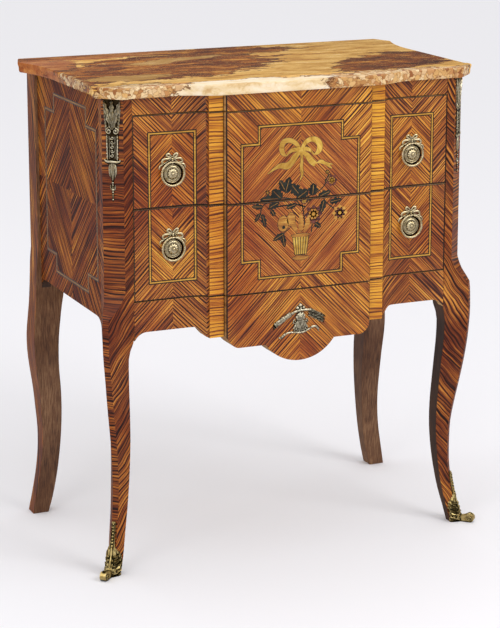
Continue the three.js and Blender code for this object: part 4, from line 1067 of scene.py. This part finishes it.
def pull_plate(place):
    """The plate of a pull: punched ground painted dark as shadow, knob, petals, beaded rim, bow and the
    ring's strap.
    """
    form = bmesh.new()
    # Painted shadow: the back plate takes the nearly black bronze
    boss(form, place, (0, 0), SHADOWED_BACKPLATE, 64)
    for face in form.faces:
        face.material_index = 1
    for profile, sides, petals, depth in PLATE_BOSSES:
        boss(form, place, (0, 0), profile, sides, petals, depth)
    for i in range(PLATE_BEADS):
        turn = 2 * math.pi * i / PLATE_BEADS
        spot = (PLATE_BEADS_OUT * math.cos(turn), PLATE_BEADS_OUT * math.sin(turn))
        bead(form, place, spot, PLATE_BEAD, 2.4, 0.7, 8)
    for side in (-1, 1):
        for line in BOW_LINES:
            cord(form, place, mirrored(side, [(a, b, h, r * BOW_SWELL) for a, b, h, r in line]), 8, 0.6)
    bead(form, place, BOW_KNOT, 2.3, 2.4, 0.9)
    cord(form, place, EYE_STRAP, 8, 0.9)
    return form


def pull_ring(place):
    """The twisted ring of a pull, with its pin."""
    form = bmesh.new()
    rings = []
    for i in range(RING_STEPS + 1):
        turn = RING_OPENING + (2 * math.pi - 2 * RING_OPENING) * i / RING_STEPS
        ring = []
        for k in ROUND:
            thick = RING_THICK + RING_TWIST * math.cos(math.pi * i * 0.5 + 2 * k)
            out = RING_RADIUS + thick * math.cos(k)
            ring.append(place(out * math.sin(turn), out * math.cos(turn), RING_PROUD + thick * math.sin(k)))
        rings.append(ring)
    spread(form, rings)
    spread(form, [[place(a, PIN_UP + r * math.cos(k), RING_PROUD + r * math.sin(k)) for k in ROUND]
                  for a, r in PIN])
    return form


SLANT = math.sqrt(0.5)
CANT_PLACE = (324.15, -172.65)      # the middle of the right canted face


def on_cant(way):
    """Places (across, down, proud) on the canted post of one side."""
    def place(across, down, proud):
        x = CANT_PLACE[0] + (across + proud) * SLANT
        y = CANT_PLACE[1] + (across - proud) * SLANT
        return Vector((way * x, y, MOUNT_TOP - down)) * MM
    return place


# Corner mounts, in millimetres down from their top: leaves as (across, down, half width, lift)
MOUNT_TOP, MOUNT_HIGH, MOUNT_GROUND = 826, 171, 1.1
# Places down the corner mount as shares of its height, and its half widths there
MOUNT_OUTLINE = ((0.0, 13.4), (0.04, 15.6), (0.12, 14.8), (0.24, 13.0), (0.3, 11.4), (0.42, 11.2),
                 (0.5, 10.6), (0.58, 10.2), (0.6, 14.0), (0.62, 14.2), (0.64, 6.4), (0.72, 6.2),
                 (0.78, 2.4), (0.82, 1.6), (0.86, 3.6), (0.9, 2.0), (0.96, 1.2), (1.0, 0.8))
CROWN_LEAF = ((2, 47, 3.4, 1.2), (6, 32, 5.4, 1.4), (10, 18, 5.0, 1.6), (13, 8, 3.4, 1.8),
              (15, 2.5, 0.8, 1.8))
CROWN_MIDDLE = ((0, 50, 3.0, 1.3), (0, 34, 6.0, 1.6), (0, 16, 5.4, 1.8), (0, 5, 3.2, 1.9), (0, 0.5, 0.6, 1.8))
CROWN_TEETH, TEETH_STEP = 7, 5.6
PANEL_EDGE = ((9.4, 60, 1.4, 0.9), (9.6, 76, 1.6, 1.1), (8.6, 92, 1.6, 1.1), (8.8, 101, 1.4, 0.9))
PANEL_BEADS, PANEL_SCROLLS, PANEL_LINE_OUT = 7, 5, 5.2
CROSS_BAR = ((-14.6, 101, 1.2, 1.2), (-11, 104.5, 1.4, 1.7), (0, 104, 2.0, 2.2), (11, 104.5, 1.4, 1.7),
             (14.6, 101, 1.2, 1.2))
SMALL_LEAF = ((2.2, 108, 1.8, 0.8), (5.4, 114, 2.8, 1.0), (5.4, 123, 2.2, 0.8), (3.0, 132, 0.7, 0.6))
LONG_LEAF = ((0, 107, 2.4, 1.2), (0, 117, 3.4, 1.3), (0, 128, 2.4, 1.1), (0, 137, 0.8, 0.6))
DROP_LEAF = ((1, 153, 0.8, 0.6), (3.6, 149, 1.6, 0.8), (4.4, 143, 0.5, 0.6))
DROP_BEADS = ((139.5, 1.7), (143.4, 1.5), (147, 1.4), (151, 2.4), (155.4, 1.8), (159.6, 1.4), (163.2, 1.1),
              (167.6, 1.6))


class COMMODE_OT_corners(bpy.types.Operator):
    """Corner mounts: acanthus crown, scrolls, fluted panel, cross-bar, long leaf and bead drop"""

    bl_idname = "commode.corners"
    bl_label = "Corner mounts"

    def execute(self, context):
        for name, way in SIDES:
            form = bmesh.new()
            place = on_cant(way)
            ground = [(half, down * MOUNT_HIGH) for down, half in MOUNT_OUTLINE]
            ground = ground + [(-half, down) for half, down in reversed(ground)]
            spread(form, [[place(a, d, h) for a, d in ground] for h in (0.0, MOUNT_GROUND)])
            for face in form.faces:
                face.material_index = 1
            for side in (-1, 1):
                leaf(form, place, mirrored(side, CROWN_LEAF), 2.2, 5, 0.5)
                for i in range(CROWN_TEETH):
                    d = i * TEETH_STEP
                    tooth = [(14.4 - i * 0.5, 20 + d, 1.0, 1.0), (13.6 - i * 0.5, 16.5 + d, 1.7, 1.2),
                             (15 - i * 0.6, 13.5 + d, 0.5, 1.1)]
                    leaf(form, place, mirrored(side, tooth), 1.2, 1)
                scroll(form, place, (side * 6.2, 53), 5.4, side, 1.4, 1.3, 1.0, -math.pi / 2)
                cord(form, place, mirrored(side, PANEL_EDGE), 8, 0.9)
                for i in range(PANEL_BEADS):
                    bead(form, place, (side * 9.5, 63 + i * TEETH_STEP), 1.35, 1.6, 0.9, 8)
                leaf(form, place, mirrored(side, SMALL_LEAF), 1.4, 2)
                leaf(form, place, mirrored(side, DROP_LEAF), 1.1, 1)
            leaf(form, place, CROWN_MIDDLE, 2.4, 6, 0.5)
            for i in range(PANEL_SCROLLS):
                scroll(form, place, (0, 64.5 + i * 7.2), 3.4, 1 - 2 * (i % 2), 1.1, 0.9, 1.3, i * math.pi)
            for across in (-PANEL_LINE_OUT, PANEL_LINE_OUT):
                cord(form, place, [(across, 62, 1.3, 0.5), (across, 99, 1.3, 0.5)], 6, 1.0, 0)
            cord(form, place, CROSS_BAR, 10, 0.8)
            leaf(form, place, LONG_LEAF, 1.6, 3)
            for down, radius in DROP_BEADS:
                bead(form, place, (0, down), radius, 0.4, 0.95, 10)
            made(f"corner_mount_{name}_cast", form, ["burnished_bronze", "punched_ground_and_shadow_bronze"], "carcass",
                 [f"corner_mount_{name}"], 0, 50)
        return {"FINISHED"}


# Sabots, in millimetres
# Parts of the shell: bottom, top, and the half width at a height and narrowing upwards of each cut
SABOT_PARTS = ((-1, 52, ((14.6, 0, 0.05), (3.6, 52, 0.6))), (52, 93, ((3.6, 52, 0.01),)))
SABOT_MIDDLE = (340, -176)
SABOT_WALL = 3.4
# Leaves of the foot: root's place across and up, tip's place across, length and half width
SABOT_LOBES = ((5, 1.5, 15.4, 9, 2.6), (4.5, 8, 15.6, 12, 2.9), (3.5, 15.5, 15.0, 13, 3.0),
               (3, 23, 13.6, 12, 2.8), (3, 30.5, 11.2, 11, 2.4))
# Bands as (across, up, proud, radius)
SABOT_RIM = ((13.8, 1.5, -0.3, 1.0), (13.6, 14, -0.3, 1.1), (12.8, 26, -0.3, 1.1), (11.4, 35, -0.3, 1.2),
             (8.6, 41, -0.3, 1.2), (5.6, 46, -0.3, 1.1), (3.8, 52, -0.3, 0.9), (3.0, 60, -0.3, 0.7))
SABOT_RIB = ((0, 16, 0.3, 1.6), (0, 26, 0.6, 2.2), (0, 40, 0.6, 2.0), (0, 50, 0.4, 1.4))
STEM_HUSKS, STEM_BEADS, STEM_LOW = 5, 8, 52
TOE_LEAVES = (-3.1, 0.0, 3.1)
TOE_RADIUS, TOE_HALF = 0.008, 0.0055        # metres


class COMMODE_OT_sabots(bpy.types.Operator):
    """Sabots on the front feet: fitted shell, raised rims, beaded stem, leaf and toe scroll"""

    bl_idname = "commode.sabots"
    bl_label = "Sabots"

    def execute(self, context):
        for name, way in SIDES:
            whole, foot = copied(f"sabot_{name}"), copied(f"leg_front_{name}")
            outward = Vector((way * SLANT, -SLANT, 0))
            across = Vector((way * SLANT, SLANT, 0))
            middle = Vector((way * SABOT_MIDDLE[0], SABOT_MIDDLE[1], 0)) * MM
            shell = BVHTree.FromBMesh(whole)
            stem = on_foot(shell, middle, across, outward)
            wing = on_foot(BVHTree.FromBMesh(foot), middle, across, outward, SABOT_WALL)
            tip = max((v.co for v in whole.verts), key=lambda co: co.dot(outward)).copy()
            tip -= across * across.dot(tip - middle)
            form = sabot_shell(whole, middle, across)
            for side in (-1, 1):
                for root, b, edge, long, wide in SABOT_LOBES:
                    lobe = [(root, b, wide * 0.5, 0.0), ((root + edge) / 2, b + long * 0.3, wide, 0.3),
                            (edge - 1.2, b + long * 0.6, wide * 0.8, 0.2), (edge - 0.8, b + long, 0.5, -1.0)]
                    leaf(form, wing, mirrored(side, lobe), 4.2, 2, 0.3, -SABOT_WALL)
                cord(form, wing, mirrored(side, SABOT_RIM), 8, 1.1)
                scroll(form, wing, (side * 8.2, 9), 4.6, side, 1.5, 1.3, 1.0, math.pi / 2)
                for i in range(STEM_HUSKS):
                    b = 50 + 8 * i
                    husk = [(0.8, b, 0.9, 0.4), (2.8 - 0.2 * i, b + 3.5, 1.5, 0.5),
                            (3.9 - 0.3 * i, b + 8, 0.4, 0.3)]
                    leaf(form, stem, mirrored(side, husk), 1.8, 1, low=-0.8)
                flank = on_flank(tip, across * side, outward)
                scroll(form, flank, (0, 0), 5.6, 1, 1.6, 1.0, 0.0, math.pi * 0.9)
            crest = on_crest(shell, tip, across, outward)
            for a in TOE_LEAVES:
                blade = [(a * 0.4, 17, 1.4, 0.0), (a, 12, 2.2, 0.3), (a, 7, 2.0, 0.2),
                         (a * 0.7, 3, 0.6, -0.3)]
                leaf(form, crest, blade, 2.6, 2, 0.3, -1.0)
            cord(form, stem, SABOT_RIB, 10, 0.9)
            for i in range(STEM_BEADS):
                bead(form, stem, (0, STEM_LOW + i * 5.3), 2.3 - 0.12 * i, 0.3, 1.0, 10)
            made(f"sabot_{name}_cast", form, ["golden_bronze"], "carcass", [f"sabot_{name}"],
                 0.4, 40)
            foot.free()
            whole.free()
        return {"FINISHED"}


def sabot_shell(whole, middle, across):
    """The shell of a sabot, cut narrower so that a strip of the leg's wood shows beside it."""
    form = bmesh.new()
    for low, high, planes in SABOT_PARTS:
        part = clipped(whole, low, high)
        for side in (-1, 1):
            for half, height, lean in planes:
                cut_off(part, middle + (across * side * half + Vector((0, 0, height))) * MM,
                        across * side + Vector((0, 0, lean)))
        spare = bpy.data.meshes.new("part")
        part.to_mesh(spare)
        part.free()
        form.from_mesh(spare)
        bpy.data.meshes.remove(spare)
    grained(form, plain)
    return form


def on_foot(tree, middle, across, outward, wall=0.0):
    """Places (across, up, proud) on a foot, a wall's thickness above the surface met from outside."""
    def place(a, b, h):
        start = middle + Vector((0, 0, max(b, 0.3) * MM)) + across * a * MM + outward * 0.09
        hit, normal, _, _ = tree.ray_cast(start, -outward, 0.2)
        if hit is None:
            hit, normal, _, _ = tree.find_nearest(start - outward * 0.07)
        spot = hit + (normal + outward).normalized() * (h + wall) * MM
        spot.z = max(spot.z, 0.2 * MM)
        return spot
    return place


def on_flank(tip, sideways, outward):
    """Places (outwards, up, proud) on one flank of the toe."""
    def place(a, b, h):
        spot = tip + outward * (a * MM - TOE_RADIUS) + sideways * (TOE_HALF + h * MM)
        spot.z = b * MM + TOE_RADIUS
        return spot
    return place


def on_crest(tree, tip, across, outward):
    """Places (across, back, proud) on the top of the toe."""
    def place(a, b, h):
        start = tip - outward * b * MM + across * a * MM + Vector((0, 0, 0.04))
        hit = tree.ray_cast(start, Vector((0, 0, -1)), 0.06)[0] or start - Vector((0, 0, 0.024))
        return hit + Vector((0, 0, h * MM))
    return place


# Apron mount, in millimetres from its middle: bands as (across, up, proud, radius)
TROPHY_HEIGHT = 427
QUIVER = ((-47, -4, 1.2, 4.4), (-34, 4.6, 1.4, 4.8), (-20, 12.4, 1.4, 4.0))
QUIVER_HOOPS = ((-47.4, -4.2, 5.6), (-43.6, -1.6, 5.0), (-34, 4.4, 5.3), (-24, 10.4, 4.8), (-20, 12.6, 4.4))
QUIVER_STUDS = ((-38, 1.6), (-38.6, 4.8), (-29, 7), (-29.6, 9.8))
ARROWS = (-3.4, -1.2, 1.2, 3.4)
BRANCH = ((-20, 12.4, 1.6, 2.4), (-8, 17.6, 2.0, 2.2), (8, 18.6, 2.0, 2.2), (19, 17, 1.6, 2.4))
SPRAY_ROWS = ((0, 13), (-5.4, 12), (-10, 10))       # drop and length of the leaves
SPRAY_LEAVES = 5
ROSES = ((-5.4, 22.2), (5.4, 22.2), (0, 26.4), (0, 21))
ROSE = ((0.3, 2.0), (2.6, 1.7), (3.9, 0.9), (4.1, 0.1))
MEDALLION = (0, 6)
MEDALLION_KNOB = ((0.3, 5.2), (1.8, 5.0), (2.6, 4.2), (3.4, 4.3), (4.8, 4.1), (5.6, 3.4), (6.0, 0.2))
MEDALLION_RIM = ((5.0, 3.4), (8.2, 2.9), (9.6, 1.6), (9.8, 0.2))
DRAPERY_FOLDS, HEM_BEADS = 8, 6
RIBBON = ((-40.6, -25.4, 0.8, 0.8), (-40, -28, 1.0, 1.4), (-36, -27.6, 1.2, 1.8), (-31, -22.6, 1.3, 1.9),
          (-22, -19.2, 1.4, 1.6), (-8, -20.6, 1.6, 1.5), (4, -22, 1.6, 1.7), (14, -18, 1.4, 1.6),
          (23, -13, 1.2, 1.7), (29, -13.4, 1.2, 1.9), (34, -17.6, 1.1, 1.6), (35.4, -23, 0.8, 0.8))


class COMMODE_OT_trophy(bpy.types.Operator):
    """Apron mount: quiver and laurel spray crossed behind a medallion, with drapery and ribbons"""

    bl_idname = "commode.trophy"
    bl_label = "Apron mount"

    def execute(self, context):
        form = bmesh.new()

        def place(a, b, h):
            return Vector((a, CENTRE_FACE - h, TROPHY_HEIGHT + b)) * MM

        cord(form, place, QUIVER, 14, 0.72)
        for a, b, r in QUIVER_HOOPS:
            cord(form, place, [(a - 0.8, b - 0.5, 1.2, r), (a + 0.8, b + 0.5, 1.2, r)], 14, 0.72, 0)
        for shift in ARROWS:
            leaf(form, place, [(-44, -3 + shift * 0.6, 1.2, 0.8), (-48.4, -6 + shift, 1.9, 1.0),
                               (-51.6, -7.6 + shift * 1.1, 0.5, 0.6)], 1.8, 2)
        for spot in QUIVER_STUDS:
            bead(form, place, spot, 1.3, 3.6, 0.8, 8)
        cord(form, place, BRANCH, 10, 0.8)
        for row, (drop, long) in enumerate(SPRAY_ROWS):
            for i in range(SPRAY_LEAVES):
                a, b = 15 + 5.6 * i, 18.4 - 3.0 * i + drop
                leaf(form, place, [(a, b, 1.0, 1.0), (a + long * 0.45, b - 1.4, 2.8, 1.5 - 0.2 * row),
                                   (a + long - 2 * (i == 4), b - 4.6, 0.5, 0.7)], 1.9, 1)
        for spot in ROSES:
            bead(form, place, spot, 3.1, 0.4, 1.0)
            boss(form, place, spot, ROSE, 40, 5, 0.25)
        boss(form, place, MEDALLION, MEDALLION_KNOB, 28)
        boss(form, place, MEDALLION, MEDALLION_RIM, 60, 9, 0.2)
        for i in range(DRAPERY_FOLDS):
            a = -10.5 + 3.0 * i
            fold = [(a * 0.4, 1, 1.5, 1.7), (a * 0.85, -7, 1.9, 2.1), (a * 1.2, -18 + 0.04 * a * a, 1.4, 2.2)]
            cord(form, place, fold, 8, 0.95)
        for i in range(HEM_BEADS):
            a = -11 + 4.4 * i
            bead(form, place, (a, -19.6 + 0.03 * a ** 2), 2.3, 0.6, 0.9, 10)
        for side in (-1, 1):
            scroll(form, place, (side * 10.5, -2), 4.0, -side, 1.2, 1.2, 0.9, math.pi / 2)
        cord(form, place, RIBBON, 8, 0.7)
        made("apron_mount_cast", form, ["patinated_bronze"], "carcass", ["apron_mount"], 0, 50)
        return {"FINISHED"}


# Settings

class InlaySettings(bpy.types.PropertyGroup):
    """Widths of the inlaid lines"""

    line_width: bpy.props.FloatProperty(
        name="Line width", description="Width of a whole inlaid line", default=0.006, min=0.004, max=0.012,
        unit="LENGTH")
    light_width: bpy.props.FloatProperty(
        name="Boxwood width", description="Width of its pale middle", default=0.0024, min=0.001, max=0.01,
        unit="LENGTH")


def color_setting(name, description, code):
    """A colour that the user can change, from its sRGB hex value."""
    return bpy.props.FloatVectorProperty(
        name=name, description=description, default=linear(code), min=0, max=1, size=4, subtype="COLOR")


class FinishSettings(bpy.types.PropertyGroup):
    """Colours of the finishes"""

    polish_color: color_setting("Polish", "Tint of the wood where its polish is whole", "#FFFFFF")
    gilding_color: color_setting("Gilding", "Colour of the pulls' gilding where it is bright", "#FFEEC4")


class StageSettings(bpy.types.PropertyGroup):
    """Light and colours of the stage"""

    lamp_power: bpy.props.FloatProperty(
        name="Lamp power", description="Power of the main soft light", default=43, min=0, unit="POWER")
    world_level: bpy.props.FloatProperty(
        name="Sky level", description="Strength of the even light from all round", default=0.8, min=0,
        subtype="FACTOR")
    floor_color: color_setting("Floor", "Colour of the floor", "#EFEEF2")
    backdrop_color: color_setting("Backdrop", "Colour of the sky where the camera sees it", "#F2F1F5")


# The stage in metres: name, place, size and share of the lamp power
LAMPS = (("key_lamp", (1.6, -2.6, 2.6), 1.6, 1.0), ("fill_lamp", (-2.8, -2.2, 1.6), 1.6, 0.5))
LAMP_AIM = (0, 0, 0.45)
FLOOR_HALF = 30
# The longer side of the sensor in millimetres, and the focal length and longer side in pixels
SENSOR, FOCAL_PIXELS, FRAME_PIXELS = 36, 2083.6, 628
CAMERA_PLACE, CAMERA_YAW, CAMERA_PITCH, CAMERA_RISE = (-1.4819, -3.3561, 1.3445), 0.4156, 0.2251, -0.1


class COMMODE_OT_stage(bpy.types.Operator):
    """Floor, sky, lamps and camera"""

    bl_idname = "commode.stage"
    bl_label = "Stage"

    def execute(self, context):
        scene = context.scene
        settings = scene.commode_stage
        scene.view_settings.view_transform = "Standard"
        mesh = bpy.data.meshes.new("floor")
        form = bmesh.new()
        bmesh.ops.create_grid(form, x_segments=2, y_segments=2, size=FLOOR_HALF)
        form.to_mesh(mesh)
        form.free()
        floor = bpy.data.objects.new("floor", mesh)
        scene.collection.objects.link(floor)
        material, tree = new_material("pale_floor")
        path = node(tree, "LightPath")
        shade = node(tree, "Mix", {"data_type": "RGBA", 6: settings.floor_color, 7: linear("#9A989C")},
                     {0: path.outputs["Is Glossy Ray"]})
        shader = node(tree, "BsdfPrincipled", {"Roughness": 0.9}, {"Base Color": shade.outputs[2]})
        node(tree, "OutputMaterial", links={"Surface": shader})
        mesh.materials.append(material)
        floor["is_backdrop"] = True

        world = bpy.data.worlds.new("studio")
        scene.world = world
        world.use_nodes = True
        tree = world.node_tree
        tree.nodes.clear()
        paths = node(tree, "LightPath")
        seen = node(tree, "Background", {"Color": settings.backdrop_color, "Strength": 1.0})
        way = node(tree, "SeparateXYZ", links={0: node(tree, "TexCoord").outputs["Generated"]})
        level = settings.world_level
        light, shine = [
            node(tree, "Background", {"Color": linear("#FFFFFF")}, {"Strength": node(
                tree, "MapRange", {1: low, 2: high, 3: least, 4: most}, {0: way.outputs["Z"]})})
            for low, high, least, most in ((0.0, 1.0, level * 0.45, level * 1.6), (0.25, 0.6, 0.1, 0.9))]
        unlit = node(tree, "MixShader", links={0: paths.outputs["Is Glossy Ray"], 1: light, 2: shine})
        mix = node(tree, "MixShader", links={0: paths.outputs["Is Camera Ray"], 1: unlit, 2: seen})
        node(tree, "OutputWorld", links={"Surface": mix})

        for name, place, size, share in LAMPS:
            data = bpy.data.lights.new(name, "AREA")
            data.size = size
            data.energy = settings.lamp_power * share
            lamp = bpy.data.objects.new(name, data)
            lamp.location = place
            aim = Vector(LAMP_AIM) - Vector(place)
            lamp.rotation_euler = aim.to_track_quat("-Z", "Y").to_euler()
            scene.collection.objects.link(lamp)

        data = bpy.data.cameras.new("camera")
        data.sensor_width = SENSOR
        data.lens = SENSOR * FOCAL_PIXELS / FRAME_PIXELS
        data.shift_y = CAMERA_RISE
        data.clip_end = 100
        camera = bpy.data.objects.new("camera", data)
        camera.location = CAMERA_PLACE
        level = math.cos(CAMERA_PITCH)
        look = Vector((math.sin(CAMERA_YAW) * level, math.cos(CAMERA_YAW) * level, -math.sin(CAMERA_PITCH)))
        camera.rotation_euler = look.to_track_quat("-Z", "Y").to_euler()
        scene.collection.objects.link(camera)
        scene.camera = camera
        return {"FINISHED"}


class COMMODE_PT_panel(bpy.types.Panel):
    """The chest's settings and its makers"""

    bl_idname = "COMMODE_PT_panel"
    bl_label = "Commode chest"
    bl_space_type = "VIEW_3D"
    bl_region_type = "UI"
    bl_category = "Commode"

    def draw(self, context):
        for name, group in GROUPS.items():
            for setting in group.__annotations__:
                self.layout.prop(getattr(context.scene, name), setting)
        for operator in OPERATORS:
            self.layout.operator(operator.bl_idname)


GROUPS = {"commode_finish": FinishSettings, "commode_inlay": InlaySettings, "commode_stage": StageSettings}
OPERATORS = (COMMODE_OT_front, COMMODE_OT_stringing, COMMODE_OT_marquetry, COMMODE_OT_sides,
             COMMODE_OT_carcass, COMMODE_OT_marble, COMMODE_OT_pulls, COMMODE_OT_corners,
             COMMODE_OT_sabots, COMMODE_OT_trophy, COMMODE_OT_stage)
CLASSES = (*GROUPS.values(), *OPERATORS, COMMODE_PT_panel)


def register():
    """Adds the classes and the scene's settings to Blender."""
    for kind in CLASSES:
        bpy.utils.register_class(kind)
    for name, group in GROUPS.items():
        setattr(bpy.types.Scene, name, bpy.props.PointerProperty(type=group))


def unregister():
    """Takes them away again."""
    for name in GROUPS:
        delattr(bpy.types.Scene, name)
    for kind in reversed(CLASSES):
        bpy.utils.unregister_class(kind)


def main():
    """Builds everything."""
    register()
    for operator in OPERATORS:
        section, name = operator.bl_idname.split(".")
        getattr(getattr(bpy.ops, section), name)()
    boxes = [[list(corner) for corner in box] for box in (FRAME_BOX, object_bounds())]


if __name__ == "__main__":
    main()
